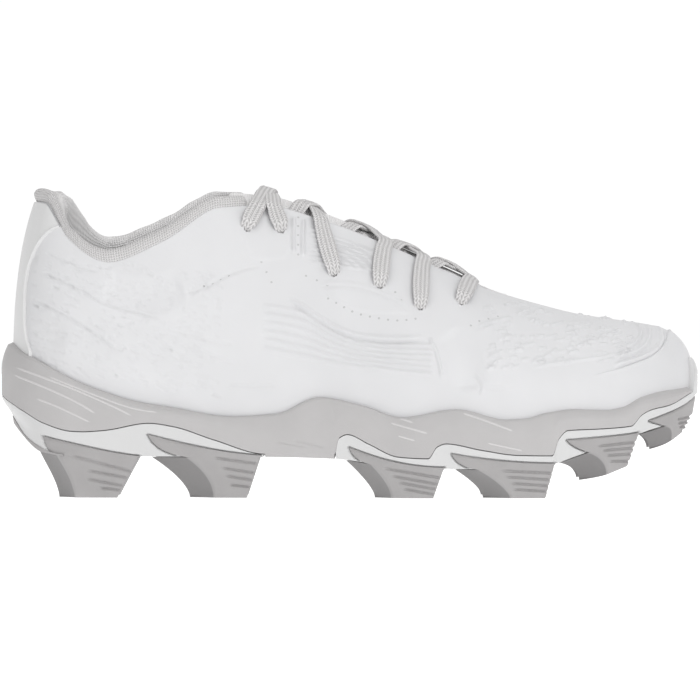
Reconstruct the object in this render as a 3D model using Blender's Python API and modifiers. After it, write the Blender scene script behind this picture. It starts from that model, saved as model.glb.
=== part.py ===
"""Low softball cleat for the right foot: sewn upper in a foam cup sole, two plates and moulded studs.

The tables are in millimetres and the meshes in metres. +X is the toe, +Y the medial side, +Z up.
The studs stand on Z = 0. Two sides, lateral and medial, run from the heel's middle line to the toe's.
"""

import math
from collections import namedtuple
from functools import lru_cache

import bmesh
import bpy
from mathutils import Vector

MM = 0.001
GAP = 0.3
OVERLAY_GAP = 0.5

# Driving sizes
UPPER_WALL = 2.0
COUNTER_THICKNESS = 0.9
TOE_CAP_THICKNESS = 0.7
INSOLE_THICKNESS = 3.5
TONGUE_THICKNESS = 3.2
LIP_THICKNESS = 1.4
PLATE_THICKNESS = 3.0
PLATE_LIP = 2.4
LACE_WIDTH = 6.6
LACE_THICKNESS = 1.3
EYELET_RADIUS = 1.7
BUMPER_THICKNESS = 1.5
LEDGE_DEPTH = 1.6
FIN_RECESS = 0.3
FIN_THICKNESS = 0.6
FIN_CLEARANCE = 0.75
STUD_RIB_DEPTH = 0.5
ARCH_REAR_X = -34.0
ARCH_FRONT_X = -5.4

LATERAL, MEDIAL = "lateral", "medial"
SIDES = (LATERAL, MEDIAL)
OTHER = {LATERAL: MEDIAL, MEDIAL: LATERAL}
SIGN = {LATERAL: -1.0, MEDIAL: 1.0}

# One row for each section of the last. foot_* is the feather edge under the upper, top_* the collar,
# the throat edge or, past the throat's end, the ridge of the vamp, whose middle line lies at ridge_y.
# The wall swells outwards by swell, folds in over turn degrees and is straighter where round is larger.
Section = namedtuple(
    "Section",
    "name foot_x foot_lat foot_med foot_z top_x top_lat top_med ridge_y top_z_lat top_z_med "
    "swell round turn",
)
SECTIONS = [
    Section("heel_back", -133.6, 0.0, 0.0, 33.0, -125.5, 0.0, 0.0, 0.0, 118.0, 118.0, 1.5, 1.00, 60.0),
    Section("heel_turn", -127.0, 19.0, 19.0, 32.5, -121.0, 13.0, 13.0, 0.0, 117.2, 117.2, 1.8, 1.00, 60.0),
    Section("heel_side", -110.0, 29.0, 28.5, 31.5, -112.0, 24.0, 23.5, 0.0, 102.8, 105.0, 2.2, 1.05, 58.0),
    Section("collar_dip", -86.0, 31.5, 30.0, 30.0, -96.0, 29.0, 28.5, 0.0, 93.6, 98.5, 2.0, 1.10, 55.0),
    Section("ankle", -60.0, 32.0, 28.0, 28.0, -74.0, 28.5, 27.5, 0.0, 102.2, 106.0, 2.0, 1.15, 58.0),
    Section("collar_front", -35.0, 33.0, 26.5, 26.0, -52.0, 22.5, 22.0, 0.5, 115.4, 117.0, 2.5, 1.15, 62.0),
    Section("throat_top", -14.0, 34.8, 27.4, 24.0, -34.0, 15.0, 14.5, 1.0, 116.2, 117.0, 3.0, 1.15, 66.0),
    Section("instep", 8.0, 38.2, 31.8, 22.0, -10.0, 13.0, 12.5, 1.5, 110.0, 111.0, 2.5, 1.12, 70.0),
    Section("lower_throat", 30.0, 41.6, 37.6, 20.5, 18.0, 11.5, 11.5, 2.0, 99.0, 99.5, 2.0, 1.10, 76.0),
    Section("throat_side", 48.0, 42.2, 41.6, 20.0, 45.0, 8.5, 8.5, 2.8, 87.2, 87.5, 1.8, 1.08, 84.0),
    Section("throat_end", 60.0, 41.6, 42.8, 20.0, 54.0, 0.0, 0.0, 3.2, 83.2, 83.2, 1.5, 1.05, 90.0),
    Section("vamp", 78.0, 38.6, 43.0, 21.5, 72.0, 0.0, 0.0, 4.0, 77.6, 77.6, 1.5, 1.00, 90.0),
    Section("toe_box", 98.0, 32.6, 40.6, 24.5, 90.0, 0.0, 0.0, 5.0, 73.0, 73.0, 1.5, 0.95, 90.0),
    Section("toe_corner", 116.0, 23.4, 35.0, 29.5, 103.0, 0.0, 0.0, 6.0, 70.9, 70.9, 1.2, 0.90, 90.0),
    Section("toe_turn", 128.4, 11.0, 25.5, 34.0, 112.0, 0.0, 0.0, 6.8, 69.5, 69.5, 1.0, 0.86, 90.0),
    Section("toe_tip", 135.4, -7.2, 7.2, 38.0, 116.5, 0.0, 0.0, 7.2, 68.6, 68.6, 1.4, 0.82, 90.0),
]
HEEL_ROW, COLLAR_FRONT_ROW, THROAT_TOP_ROW, THROAT_END_ROW, TOE_ROW = 0, 5, 6, 10, 15

# Height of the cup sole's top edge, of the line between cup and outsole plate, and of the underside
RimPoint = namedtuple("RimPoint", "x z")
SOLE_RIM = [
    RimPoint(-136.0, 60.5), RimPoint(-124.0, 54.0), RimPoint(-100.0, 44.0), RimPoint(-72.0, 36.6),
    RimPoint(-46.0, 32.4), RimPoint(-28.0, 33.4), RimPoint(-8.0, 40.0), RimPoint(8.0, 37.0),
    RimPoint(23.0, 32.1), RimPoint(43.0, 35.2), RimPoint(62.0, 31.2), RimPoint(69.0, 31.6),
    RimPoint(77.0, 33.8), RimPoint(88.0, 35.2), RimPoint(100.0, 34.8), RimPoint(107.0, 36.0),
    RimPoint(114.5, 40.0), RimPoint(122.0, 42.0), RimPoint(129.0, 43.0), RimPoint(136.0, 44.8),
]
PLATE_LINE = [
    RimPoint(-136.0, 39.8), RimPoint(-129.0, 33.8), RimPoint(-120.0, 28.9), RimPoint(-106.0, 26.4),
    RimPoint(-97.0, 27.0), RimPoint(-80.0, 29.8), RimPoint(-70.0, 28.4), RimPoint(-54.0, 23.2),
    RimPoint(-34.0, 17.6), RimPoint(-20.0, 17.4), RimPoint(-5.6, 17.4), RimPoint(-4.0, 23.8),
    RimPoint(-0.5, 25.4), RimPoint(8.0, 21.6), RimPoint(20.0, 16.5), RimPoint(31.0, 15.9),
    RimPoint(34.6, 20.6), RimPoint(38.0, 21.8), RimPoint(52.0, 19.2), RimPoint(66.0, 17.2),
    RimPoint(79.0, 17.0), RimPoint(81.4, 23.6), RimPoint(85.0, 27.0), RimPoint(98.0, 27.6),
    RimPoint(109.4, 28.6), RimPoint(113.4, 33.0), RimPoint(117.0, 35.0), RimPoint(124.0, 36.8),
    RimPoint(130.0, 40.2), RimPoint(136.0, 43.4),
]
UNDERSIDE = [
    RimPoint(-136.0, 35.0), RimPoint(-133.0, 29.0), RimPoint(-128.0, 23.5), RimPoint(-121.0, 18.5),
    RimPoint(-108.0, 16.6), RimPoint(-34.0, 16.3), RimPoint(-6.0, 15.6), RimPoint(20.0, 12.4),
    RimPoint(50.0, 11.6), RimPoint(78.0, 13.2), RimPoint(100.0, 18.2), RimPoint(116.0, 24.0),
    RimPoint(128.0, 29.0), RimPoint(136.0, 34.0),
]
# How far the sole's side stands out from the feather edge
WallPoint = namedtuple("WallPoint", "x out")
SOLE_WALL = [
    WallPoint(-136.0, 6.2), WallPoint(-128.0, 5.4), WallPoint(-110.0, 4.8), WallPoint(-60.0, 4.6),
    WallPoint(-10.0, 4.6),
    WallPoint(40.0, 5.0), WallPoint(90.0, 4.8), WallPoint(120.0, 4.6), WallPoint(129.0, 4.4),
    WallPoint(136.0, 3.6),
]
# The front plate's bumper, standing up before the toe
BUMPER_START_X = 131.0
BUMPER_FULL_X = 133.8
BUMPER_TOP = 55.5
SIDE_TAPER = 0.16

# Studs of one side, seen from that side: the foot of the outer face, the front corner and the fin's tip
# at its top, and the foot and top of the inner edge behind. depth is how far the stud reaches inwards,
# and the fin's top edge falls steeply behind its tip where hollow is large.
Stud = namedtuple(
    "Stud",
    "name rear_x rear_z front_x front_z tip_x tip_z corner_x corner_z inner_x inner_z inner_top_x "
    "depth hollow",
)
STUDS = [
    Stud("heel_rear", -109.4, 0.0, -92.5, 0.0, -120.4, 24.4, -83.4, 16.6, -116.4, 0.0, -123.4, 15.0, 1.3),
    Stud("heel_front", -54.0, 0.0, -41.0, 0.0, -80.4, 25.2, -35.4, 17.0, -64.5, 0.0, -80.0, 14.0, 1.5),
    Stud("ball_rear", 16.5, 0.0, 33.0, 0.0, 0.0, 20.2, 37.4, 12.2, 9.5, 0.0, -2.0, 15.0, 1.9),
    Stud("ball_front", 63.5, 0.0, 77.0, 0.0, 40.2, 17.6, 80.4, 13.8, 52.0, 0.0, 41.0, 15.0, 1.9),
    Stud("toe_rear", 101.6, 9.2, 109.2, 12.4, 84.8, 23.0, 113.0, 26.0, 90.0, 6.8, 81.6, 14.0, 0.7),
    Stud("toe_front", 127.0, 22.4, 132.0, 26.2, 116.6, 30.4, 133.8, 39.0, 117.6, 18.8, 112.6, 12.0, 0.7),
]
STUD_BODY_ROWS = 8
STUD_FIN_ROWS = 3
STUD_FLARE = 1.6
STUD_INNER_SETBACK = 2.0
STUD_GAP = 0.8
STUD_REACH_LIMIT = 0.45
STUD_TOP_SHARE = 0.95
# Places across a stud's outer face, from rear to front, and the depth of the grooves there
STUD_ACROSS = ((0.0, 0.0), (0.1, 0.0), (0.3, 0.0), (0.56, STUD_RIB_DEPTH), (0.8, STUD_RIB_DEPTH),
               (1.0, STUD_RIB_DEPTH))
RECESS_MARGIN = 0.9

# Lace holes of one side, from the collar down
Eyelet = namedtuple("Eyelet", "x z")
EYELETS = [
    Eyelet(-41.0, 106.8), Eyelet(-27.8, 106.0), Eyelet(-6.6, 89.0),
    Eyelet(11.8, 84.2), Eyelet(27.8, 75.6), Eyelet(44.2, 77.4),
]

# Front edge of the heel counter and top edge of the toe cap
EdgePoint = namedtuple("EdgePoint", "z x")
COUNTER_EDGE = [EdgePoint(52.0, -125.0), EdgePoint(70.0, -129.0), EdgePoint(86.0, -128.0),
                EdgePoint(97.0, -124.0), EdgePoint(106.0, -115.5)]
CAP_EDGE = [RimPoint(76.0, 41.0), RimPoint(97.0, 48.6), RimPoint(114.0, 55.6), RimPoint(126.0, 63.0),
            RimPoint(136.0, 67.2)]

# Colours are linear red, green and blue
Finish = namedtuple("Finish", "colour roughness")
WHITE_SYNTHETIC = Finish((0.78, 0.78, 0.79), 0.55)
WHITE_MOULDED = Finish((0.80, 0.80, 0.80), 0.45)
GREY_FOAM = Finish((0.53, 0.52, 0.52), 0.60)
GREY_RUBBER = Finish((0.48, 0.47, 0.47), 0.62)
GREY_KNIT = Finish((0.58, 0.57, 0.57), 0.85)
GREY_LACE = Finish((0.62, 0.61, 0.61), 0.80)


def pchip(knots, values):
    """A smooth curve through the values that never overshoots them, with its slope."""
    spans = [b - a for a, b in zip(knots, knots[1:])]
    rates = [(b - a) / span for a, b, span in zip(values, values[1:], spans)]
    slopes = [rates[0]]
    for left, right in zip(rates, rates[1:]):
        slopes.append(0.0 if left * right <= 0.0 else 2.0 * left * right / (left + right))
    slopes.append(rates[-1])

    def at(place):
        place = min(max(place, knots[0]), knots[-1])
        row = 0
        while row < len(spans) - 1 and place > knots[row + 1]:
            row += 1
        span = spans[row]
        t = (place - knots[row]) / span
        a, b = values[row], values[row + 1]
        da, db = slopes[row] * span, slopes[row + 1] * span
        c2, c3 = 3.0 * (b - a) - 2.0 * da - db, 2.0 * (a - b) + da + db
        return a + da * t + c2 * t * t + c3 * t ** 3, (da + 2.0 * c2 * t + 3.0 * c3 * t * t) / span

    return at


def height_curve(rows):
    curve = pchip([row[0] for row in rows], [row[1] for row in rows])
    return lambda x: curve(x)[0]


rim_height = height_curve(SOLE_RIM)
plate_height = height_curve(PLATE_LINE)
under_height = height_curve(UNDERSIDE)
wall_out = height_curve(SOLE_WALL)
counter_edge = height_curve(COUNTER_EDGE)
cap_edge = height_curve(CAP_EDGE)


def section_values(side):
    """The sections' columns on one side, as places in the shoe's frame."""
    lateral = side == LATERAL
    values = {
        "foot_x": [s.foot_x for s in SECTIONS],
        "foot_y": [-s.foot_lat if lateral else s.foot_med for s in SECTIONS],
        "foot_z": [s.foot_z for s in SECTIONS],
        "top_x": [s.top_x for s in SECTIONS],
        "ridge_y": [s.ridge_y for s in SECTIONS],
        "top_z": [s.top_z_lat if lateral else s.top_z_med for s in SECTIONS],
        "swell": [s.swell for s in SECTIONS],
        "round": [s.round for s in SECTIONS],
        "turn": [math.radians(s.turn) for s in SECTIONS],
    }
    throat = SECTIONS[: THROAT_END_ROW + 1]
    values["throat_y"] = [s.ridge_y + (-s.top_lat if lateral else s.top_med) for s in throat]
    return values


def section_curves():
    """Each column as a curve over the row number. A side runs on into the other past the heel and toe."""
    values = {side: section_values(side) for side in SIDES}
    rows = list(range(-1, TOE_ROW + 2))
    curves = {side: {} for side in SIDES}
    for side in SIDES:
        beyond = values[OTHER[side]]
        for name, own in values[side].items():
            reach = [beyond[name][1], *own]
            if name != "throat_y":
                reach.append(beyond[name][-2])
            curves[side][name] = pchip(rows[: len(reach)], reach)
    return curves


CURVES = section_curves()
RIB_STEPS = 48


def column(side, name, u):
    return CURVES[side][name](u)[0]


def foot_point(side, u):
    return Vector((column(side, "foot_x", u), column(side, "foot_y", u), column(side, "foot_z", u)))


def top_point(side, u):
    y_column = "throat_y" if u < THROAT_END_ROW else "ridge_y"
    return Vector((column(side, "top_x", u), column(side, y_column, u), column(side, "top_z", u)))


def outward(side, u):
    """The level direction square to the feather edge, away from the foot."""
    along = Vector((CURVES[side]["foot_x"](u)[1], CURVES[side]["foot_y"](u)[1], 0.0))
    along.normalize()
    return SIGN[side] * Vector((-along.y, along.x, 0.0))


@lru_cache(maxsize=None)
def rib(side, u):
    """Points up the upper's face, from feather edge to collar, throat or ridge, and the lengths to them."""
    foot, top, out = foot_point(side, u), top_point(side, u), outward(side, u)
    reach = top - foot
    inward = reach.dot(out)
    lean = Vector((reach.x, reach.y, 0.0)) - out * inward
    swell, power = column(side, "swell", u), column(side, "round", u)
    full_turn = column(side, "turn", u)
    full_rise = math.sin(full_turn) ** power
    full_fold = 1.0 - max(math.cos(full_turn), 0.0) ** power
    points = []
    for step in range(RIB_STEPS + 1):
        share = step / RIB_STEPS
        turn = share * full_turn
        rise = math.sin(turn) ** power / full_rise
        fold = (1.0 - max(math.cos(turn), 0.0) ** power) / full_fold
        bulge = swell * math.sin(math.pi * share)
        climb = Vector((0.0, 0.0, reach.z * rise))
        points.append(foot + out * (inward * fold + bulge) + lean * rise + climb)
    lengths = [0.0]
    for a, b in zip(points, points[1:]):
        lengths.append(lengths[-1] + (b - a).length)
    return points, lengths


def along_polyline(points, measures, wanted):
    row = 0
    while row < len(measures) - 2 and wanted > measures[row + 1]:
        row += 1
    share = (wanted - measures[row]) / (measures[row + 1] - measures[row])
    return points[row].lerp(points[row + 1], share)


def skin(side, u, w):
    """A point on the upper's outer face: u counts section rows, w runs from feather edge to top."""
    points, lengths = rib(side, u)
    return along_polyline(points, lengths, w * lengths[-1])


def skin_share_at_height(side, u, z):
    points, lengths = rib(side, u)
    heights = [point.z for point in points]
    if z >= heights[-1]:
        return 1.0
    row = 0
    while row < len(heights) - 2 and z > heights[row + 1]:
        row += 1
    share = (z - heights[row]) / (heights[row + 1] - heights[row])
    return (lengths[row] + share * (lengths[row + 1] - lengths[row])) / lengths[-1]


def skin_at_height(side, u, z):
    points, _ = rib(side, u)
    if z <= points[0].z:
        return Vector((points[0].x, points[0].y, z))
    if z >= points[-1].z:
        return points[-1].copy()
    return along_polyline(points, [point.z for point in points], z)


def skin_normal(side, u, w):
    """The outer face's normal, the same from both sides where they meet."""
    step_u, step_w = 0.02, 0.01
    low_u, high_u = max(u - step_u, HEEL_ROW), min(u + step_u, TOE_ROW)
    across = skin(side, high_u, w) - skin(side, low_u, w)
    if u <= HEEL_ROW:
        across = skin(side, step_u, w) - skin(OTHER[side], step_u, w)
    if u >= TOE_ROW:
        across = skin(OTHER[side], TOE_ROW - step_u, w) - skin(side, TOE_ROW - step_u, w)
    up = skin(side, u, min(w + step_w, 1.0)) - skin(side, u, max(w - step_w, 0.0))
    if w >= 1.0 and u >= THROAT_END_ROW:
        up = skin(OTHER[side], u, 1.0 - step_w) - skin(side, u, 1.0 - step_w)
    return (across.cross(up) * -SIGN[side]).normalized()


def lifted(side, u, w, lift):
    """A point off the upper's outer face, outside it where lift is positive."""
    return skin(side, u, w) + skin_normal(side, u, w) * lift


def row_at_foot_x(x):
    """The section row whose feather edge lies at x."""
    low, high = float(HEEL_ROW), float(TOE_ROW)
    for _ in range(40):
        middle = (low + high) / 2.0
        low, high = (middle, high) if column(LATERAL, "foot_x", middle) < x else (low, middle)
    return (low + high) / 2.0


def row_at_edge_x(x):
    """The section row whose collar or throat edge lies at x."""
    low, high = float(HEEL_ROW), float(TOE_ROW)
    for _ in range(40):
        middle = (low + high) / 2.0
        low, high = (middle, high) if column(LATERAL, "top_x", middle) < x else (low, middle)
    return (low + high) / 2.0


def place_on_side(side, x, z):
    """The row and share of the skin's point at that x and height."""
    low, high = float(HEEL_ROW), float(TOE_ROW)
    for _ in range(40):
        middle = (low + high) / 2.0
        low, high = (middle, high) if skin_at_height(side, middle, z).x < x else (low, middle)
    u = (low + high) / 2.0
    return u, skin_share_at_height(side, u, z)


def material(name, finish):
    made = bpy.data.materials.new(name)
    made.use_nodes = True
    shader = made.node_tree.nodes["Principled BSDF"]
    shader.inputs["Base Color"].default_value = (*finish.colour, 1.0)
    shader.inputs["Roughness"].default_value = finish.roughness
    shader.inputs["Metallic"].default_value = 0.0
    return made


def object_from_mesh(name, mesh, collection, finish=None):
    made = bpy.data.objects.new(name, mesh)
    collection.objects.link(made)
    if finish:
        mesh.materials.append(material(name, finish))
    mesh.shade_smooth()
    mesh.set_sharp_from_angle(angle=math.radians(40.0))
    return made


def mesh_from_faces(name, points, faces, closed=True):
    """A mesh in metres, with points that coincide made one."""
    mesh = bpy.data.meshes.new(name)
    mesh.from_pydata([point * MM for point in points], [], faces)
    shape = bmesh.new()
    shape.from_mesh(mesh)
    bmesh.ops.remove_doubles(shape, verts=shape.verts, dist=1e-6)
    bmesh.ops.dissolve_degenerate(shape, edges=shape.edges, dist=1e-7)
    if closed:
        bmesh.ops.recalc_face_normals(shape, faces=shape.faces)
    shape.to_mesh(mesh)
    shape.free()
    return mesh


def loft(name, rings, ends=None):
    """A closed mesh through rings of equally many points. Its ends are one face each, or a strip of
    faces between the two halves of the ring, or closed by the rings themselves."""
    count = len(rings[0])
    points = [point for ring in rings for point in ring]
    faces = []
    for row in range(len(rings) - 1):
        for k in range(count):
            near, far = row * count, (row + 1) * count
            faces.append((near + k, near + (k + 1) % count, far + (k + 1) % count, far + k))
    for first in (0, (len(rings) - 1) * count):
        if ends == "face":
            faces.append(tuple(range(first, first + count)))
        elif ends == "strip":
            for k in range(count // 2 - 1):
                facing = first + count - 1 - k
                faces.append((first + k, first + k + 1, facing - 1, facing))
    return mesh_from_faces(name, points, faces)


def sheet(name, grid, flip=False):
    """An open mesh over a grid of points, its rows along the first index."""
    width = len(grid[0])
    points = [point for row in grid for point in row]
    faces = []
    for i in range(len(grid) - 1):
        for j in range(width - 1):
            face = (i * width + j, (i + 1) * width + j, (i + 1) * width + j + 1, i * width + j + 1)
            faces.append(tuple(reversed(face)) if flip else face)
    return mesh_from_faces(name, points, faces, closed=False)


def joined(name, meshes):
    """Open meshes sewn together along the points that they share."""
    shape = bmesh.new()
    for mesh in meshes:
        shape.from_mesh(mesh)
        bpy.data.meshes.remove(mesh)
    bmesh.ops.remove_doubles(shape, verts=shape.verts, dist=1e-6)
    made = bpy.data.meshes.new(name)
    shape.to_mesh(made)
    shape.free()
    return made


def thicken(made, thickness, offset):
    shell = made.modifiers.new("wall", "SOLIDIFY")
    shell.thickness = thickness * MM
    shell.offset = offset
    shell.use_even_offset = True
    shell.use_rim = True


def mix(a, b, share):
    return a + (b - a) * share


def spread(low, high, count):
    return [low + (high - low) * k / (count - 1) for k in range(count)]


# The upper, with its lace holes, and the two overlays

COLLAR_COLUMNS, THROAT_COLUMNS, VAMP_COLUMNS = 19, 14, 14
UPPER_SHARES = [0.0, 0.12, 0.25, 0.38, 0.52, 0.66, 0.80, 0.91, 1.0]


def collar_rows():
    return spread(HEEL_ROW, COLLAR_FRONT_ROW, COLLAR_COLUMNS)


def upper_rows():
    throat = spread(COLLAR_FRONT_ROW, THROAT_END_ROW, THROAT_COLUMNS)
    vamp = spread(THROAT_END_ROW, TOE_ROW, VAMP_COLUMNS)
    return [*collar_rows(), *throat[1:], *vamp[1:]]


def make_upper(parts, cutters):
    halves = []
    for side in SIDES:
        grid = [[skin(side, u, w) for w in UPPER_SHARES] for u in upper_rows()]
        halves.append(sheet("upper_" + side, grid, flip=side == MEDIAL))
    upper = object_from_mesh("upper", joined("upper", halves), parts, WHITE_SYNTHETIC)
    thicken(upper, UPPER_WALL, -1.0)
    for side in SIDES:
        for number, eyelet in enumerate(EYELETS, 1):
            add_eyelet_cutter(side, number, eyelet, cutters)
    holes = upper.modifiers.new("lace holes", "BOOLEAN")
    holes.operand_type = "COLLECTION"
    holes.collection = cutters


def add_eyelet_cutter(side, number, eyelet, cutters):
    u, w = place_on_side(side, eyelet.x, eyelet.z)
    normal = skin_normal(side, u, w)
    middle = lifted(side, u, w, -UPPER_WALL / 2.0) * MM
    bpy.ops.mesh.primitive_cylinder_add(vertices=8, radius=EYELET_RADIUS * MM, depth=4.0 * UPPER_WALL * MM,
                                        location=middle, rotation=normal.to_track_quat("Z", "Y").to_euler())
    cutter = bpy.context.object
    cutter.name = f"eyelet_cutter_{side}_{number}"
    cutter.hide_render = True
    cutter.display_type = "WIRE"
    for owner in list(cutter.users_collection):
        owner.objects.unlink(cutter)
    cutters.objects.link(cutter)


COUNTER_LEVELS, COUNTER_ACROSS = 9, 8
COUNTER_BASE = 60.0
COUNTER_TOP_SHARE = 0.985
CAP_LEVELS = 6
RIM_CLEARANCE = 1.2


def make_heel_counter(parts):
    """The moulded panel over the heel, from the cup sole's edge to the collar."""
    halves = []
    for side in SIDES:
        grid = []
        for share in spread(0.0, 1.0, COUNTER_LEVELS):
            z_front = mix(COUNTER_BASE, COUNTER_EDGE[-1].z, share)
            u_front, _ = place_on_side(side, counter_edge(z_front), z_front)
            row = []
            for u in spread(HEEL_ROW, u_front, COUNTER_ACROSS):
                rim = rim_height(skin_at_height(side, u, COUNTER_BASE).x)
                low = skin_share_at_height(side, u, rim + RIM_CLEARANCE)
                row.append(lifted(side, u, mix(low, COUNTER_TOP_SHARE, share), OVERLAY_GAP))
            grid.append(row)
        halves.append(sheet("counter_" + side, grid, flip=side == LATERAL))
    counter = object_from_mesh("heel_counter", joined("heel_counter", halves), parts, WHITE_MOULDED)
    thicken(counter, COUNTER_THICKNESS, 1.0)


def make_toe_cap(parts):
    """The smooth overlay round the toe, from the cup sole's edge up to its ridged top edge."""
    first = row_at_foot_x(CAP_EDGE[0].x)
    halves = []
    for side in SIDES:
        grid = []
        for u in [first, *(row for row in upper_rows() if row > first)]:
            foot_x = column(side, "foot_x", u)
            low = skin_share_at_height(side, u, rim_height(foot_x) + RIM_CLEARANCE)
            high = skin_share_at_height(side, u, cap_edge(foot_x))
            grid.append([lifted(side, u, w, OVERLAY_GAP) for w in spread(low, high, CAP_LEVELS)])
        halves.append(sheet("cap_" + side, grid, flip=side == MEDIAL))
    cap = object_from_mesh("toe_cap", joined("toe_cap", halves), parts, WHITE_MOULDED)
    thicken(cap, TOE_CAP_THICKNESS, 1.0)


# The padded collar, the tongue and the insole

# The collar's section: out from the upper's face and up past its edge, clockwise from its outer foot.
# Its padding is thick at the heel and ends where the tongue begins, from where a bare roll runs on.
CollarPoint = namedtuple("CollarPoint", "out up")
COLLAR_SECTION = [
    CollarPoint(-0.2, 0.5), CollarPoint(0.9, 2.4), CollarPoint(0.2, 4.6), CollarPoint(-2.0, 5.6),
    CollarPoint(-4.8, 4.4), CollarPoint(-6.4, 0.5), CollarPoint(-6.6, -10.0), CollarPoint(-4.8, -20.0),
    CollarPoint(-2.7, -22.0), CollarPoint(-2.7, -10.0), CollarPoint(-2.7, 0.5),
]


COLLAR_LINING_OUT = -2.7
COLLAR_EDGE_UP = 0.5
CollarPad = namedtuple("CollarPad", "u share")
COLLAR_PAD = [CollarPad(0.0, 2.0), CollarPad(1.0, 1.9), CollarPad(2.2, 1.2), CollarPad(3.0, 1.0),
              CollarPad(4.4, 1.0), CollarPad(5.2, 0.0), CollarPad(6.0, 0.0)]
COLLAR_ROLL_ROWS = (5.2, 5.4, 5.58)
collar_pad = height_curve(COLLAR_PAD)


def collar_ring(side, u):
    points, lengths = rib(side, u)
    top = points[-1]
    rise = (points[-1] - points[-3]).normalized()
    edge_normal = skin_normal(side, u, 0.999)
    pad = collar_pad(u)
    ring = []
    for place in COLLAR_SECTION:
        out = place.out
        if out < COLLAR_LINING_OUT:
            out = mix(COLLAR_LINING_OUT, out, pad)
        up = place.up if place.up >= 0.0 else mix(COLLAR_EDGE_UP, place.up, min(pad, 1.0))
        if up >= 0.0:
            ring.append(top + rise * up + edge_normal * out)
        else:
            ring.append(lifted(side, u, 1.0 + up / lengths[-1], out))
    return ring


def make_collar(parts):
    rows = [*collar_rows(), *COLLAR_ROLL_ROWS]
    rings = [collar_ring(LATERAL, u) for u in reversed(rows)]
    rings += [collar_ring(MEDIAL, u) for u in rows[1:]]
    object_from_mesh("collar_lining", loft("collar_lining", rings, "face"), parts, GREY_KNIT)


# The tongue's top, as steps past the throat along its path, and its crown over the throat edges by row
TONGUE_STEPS = (5.0, 10.0)
TONGUE_LAST_ROW = 10.6
TONGUE_CLEARANCE = 0.8
CrownPoint = namedtuple("CrownPoint", "u rise")
TONGUE_CROWN = [CrownPoint(5.8, 5.4), CrownPoint(6.0, 5.0), CrownPoint(6.4, 3.8), CrownPoint(7.0, 2.2),
                CrownPoint(8.6, 0.8), CrownPoint(9.6, 0.1), CrownPoint(10.6, 0.0)]
TONGUE_UNDERLAP = (15.0, 7.5, 0.0)
TONGUE_PATH = Vector((-0.99, 0.0, 0.10))
TONGUE_NARROWING = 0.008
TONGUE_SHOULDER = 0.75
TONGUE_FIRST_ROW = THROAT_TOP_ROW - 0.2
tongue_crown = height_curve(TONGUE_CROWN)


def tongue_row(u, beyond):
    """Points across the tongue's outer face, under one eyestay, over the throat and under the other."""
    clear = -(UPPER_WALL + TONGUE_CLEARANCE)
    halves = {}
    for side in SIDES:
        length = rib(side, u)[1][-1]
        halves[side] = [lifted(side, u, 1.0 - lap / length, clear) for lap in TONGUE_UNDERLAP]
    left, right = halves[LATERAL][-1], halves[MEDIAL][-1]
    middle = (left + right) / 2.0
    rise = Vector((0.0, 0.0, tongue_crown(u)))
    shoulders = [edge.lerp(middle, 0.5) + rise * TONGUE_SHOULDER for edge in (left, right)]
    points = [*halves[LATERAL], shoulders[0], middle + rise, shoulders[1], *reversed(halves[MEDIAL])]
    narrow = 1.0 - TONGUE_NARROWING * beyond
    moved = []
    for point in points:
        aside = Vector((point.x, middle.y + (point.y - middle.y) * narrow, point.z))
        moved.append(aside + TONGUE_PATH * beyond)
    return moved


def make_tongue(parts):
    under = [u for u in upper_rows() if TONGUE_FIRST_ROW < u < TONGUE_LAST_ROW]
    grid = [tongue_row(u, 0.0) for u in reversed(under)]
    grid += [tongue_row(under[0], step) for step in TONGUE_STEPS]
    tongue = object_from_mesh("tongue", sheet("tongue", grid, flip=True), parts, GREY_KNIT)
    thicken(tongue, TONGUE_THICKNESS, -1.0)


INSOLE_COLUMNS = 23
INSOLE_END_PLACES = (-132.2, -127.6, 126.0, 131.6, 134.4)
INSOLE_INSET = UPPER_WALL + 0.5


def make_insole(parts):
    rings = []
    places = {*spread(SOLE_REAR_X, SOLE_FRONT_X, INSOLE_COLUMNS), *INSOLE_END_PLACES}
    for u in [row_at_foot_x(x) for x in sorted(places)]:
        ring = []
        for side, order in ((LATERAL, 1), (MEDIAL, -1)):
            edge = foot_point(side, u) - outward(side, u) * INSOLE_INSET
            low = Vector((edge.x, edge.y, foot_point(side, u).z))
            corner = [low, low + Vector((0.0, 0.0, INSOLE_THICKNESS))]
            ring += corner[::order]
        rings.append(ring)
    object_from_mesh("insole", loft("insole", rings), parts, GREY_KNIT)


# The cup sole, the two outsole plates and the studs

STEP_PLACES = (-4.6, 33.0, 80.4, 112.0)
STEP_SPREAD = (-2.2, -0.8, 0.8, 2.4)
HEEL_PLACES = (-133.3, -132.2, -130.2, -127.2, -124.0, -120.0, -112.0)
TOE_PLACES = (121.0, 125.0, 128.4, 133.4, 134.6, 135.2)
BUMPER_PLACES = (BUMPER_START_X - 1.0, BUMPER_START_X - GAP, BUMPER_START_X + 1.0)
SOLE_COLUMNS = 33
COLUMN_CLEARANCE = 2.0
SOLE_REAR_X, SOLE_FRONT_X = SECTIONS[HEEL_ROW].foot_x, SECTIONS[TOE_ROW].foot_x


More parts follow.
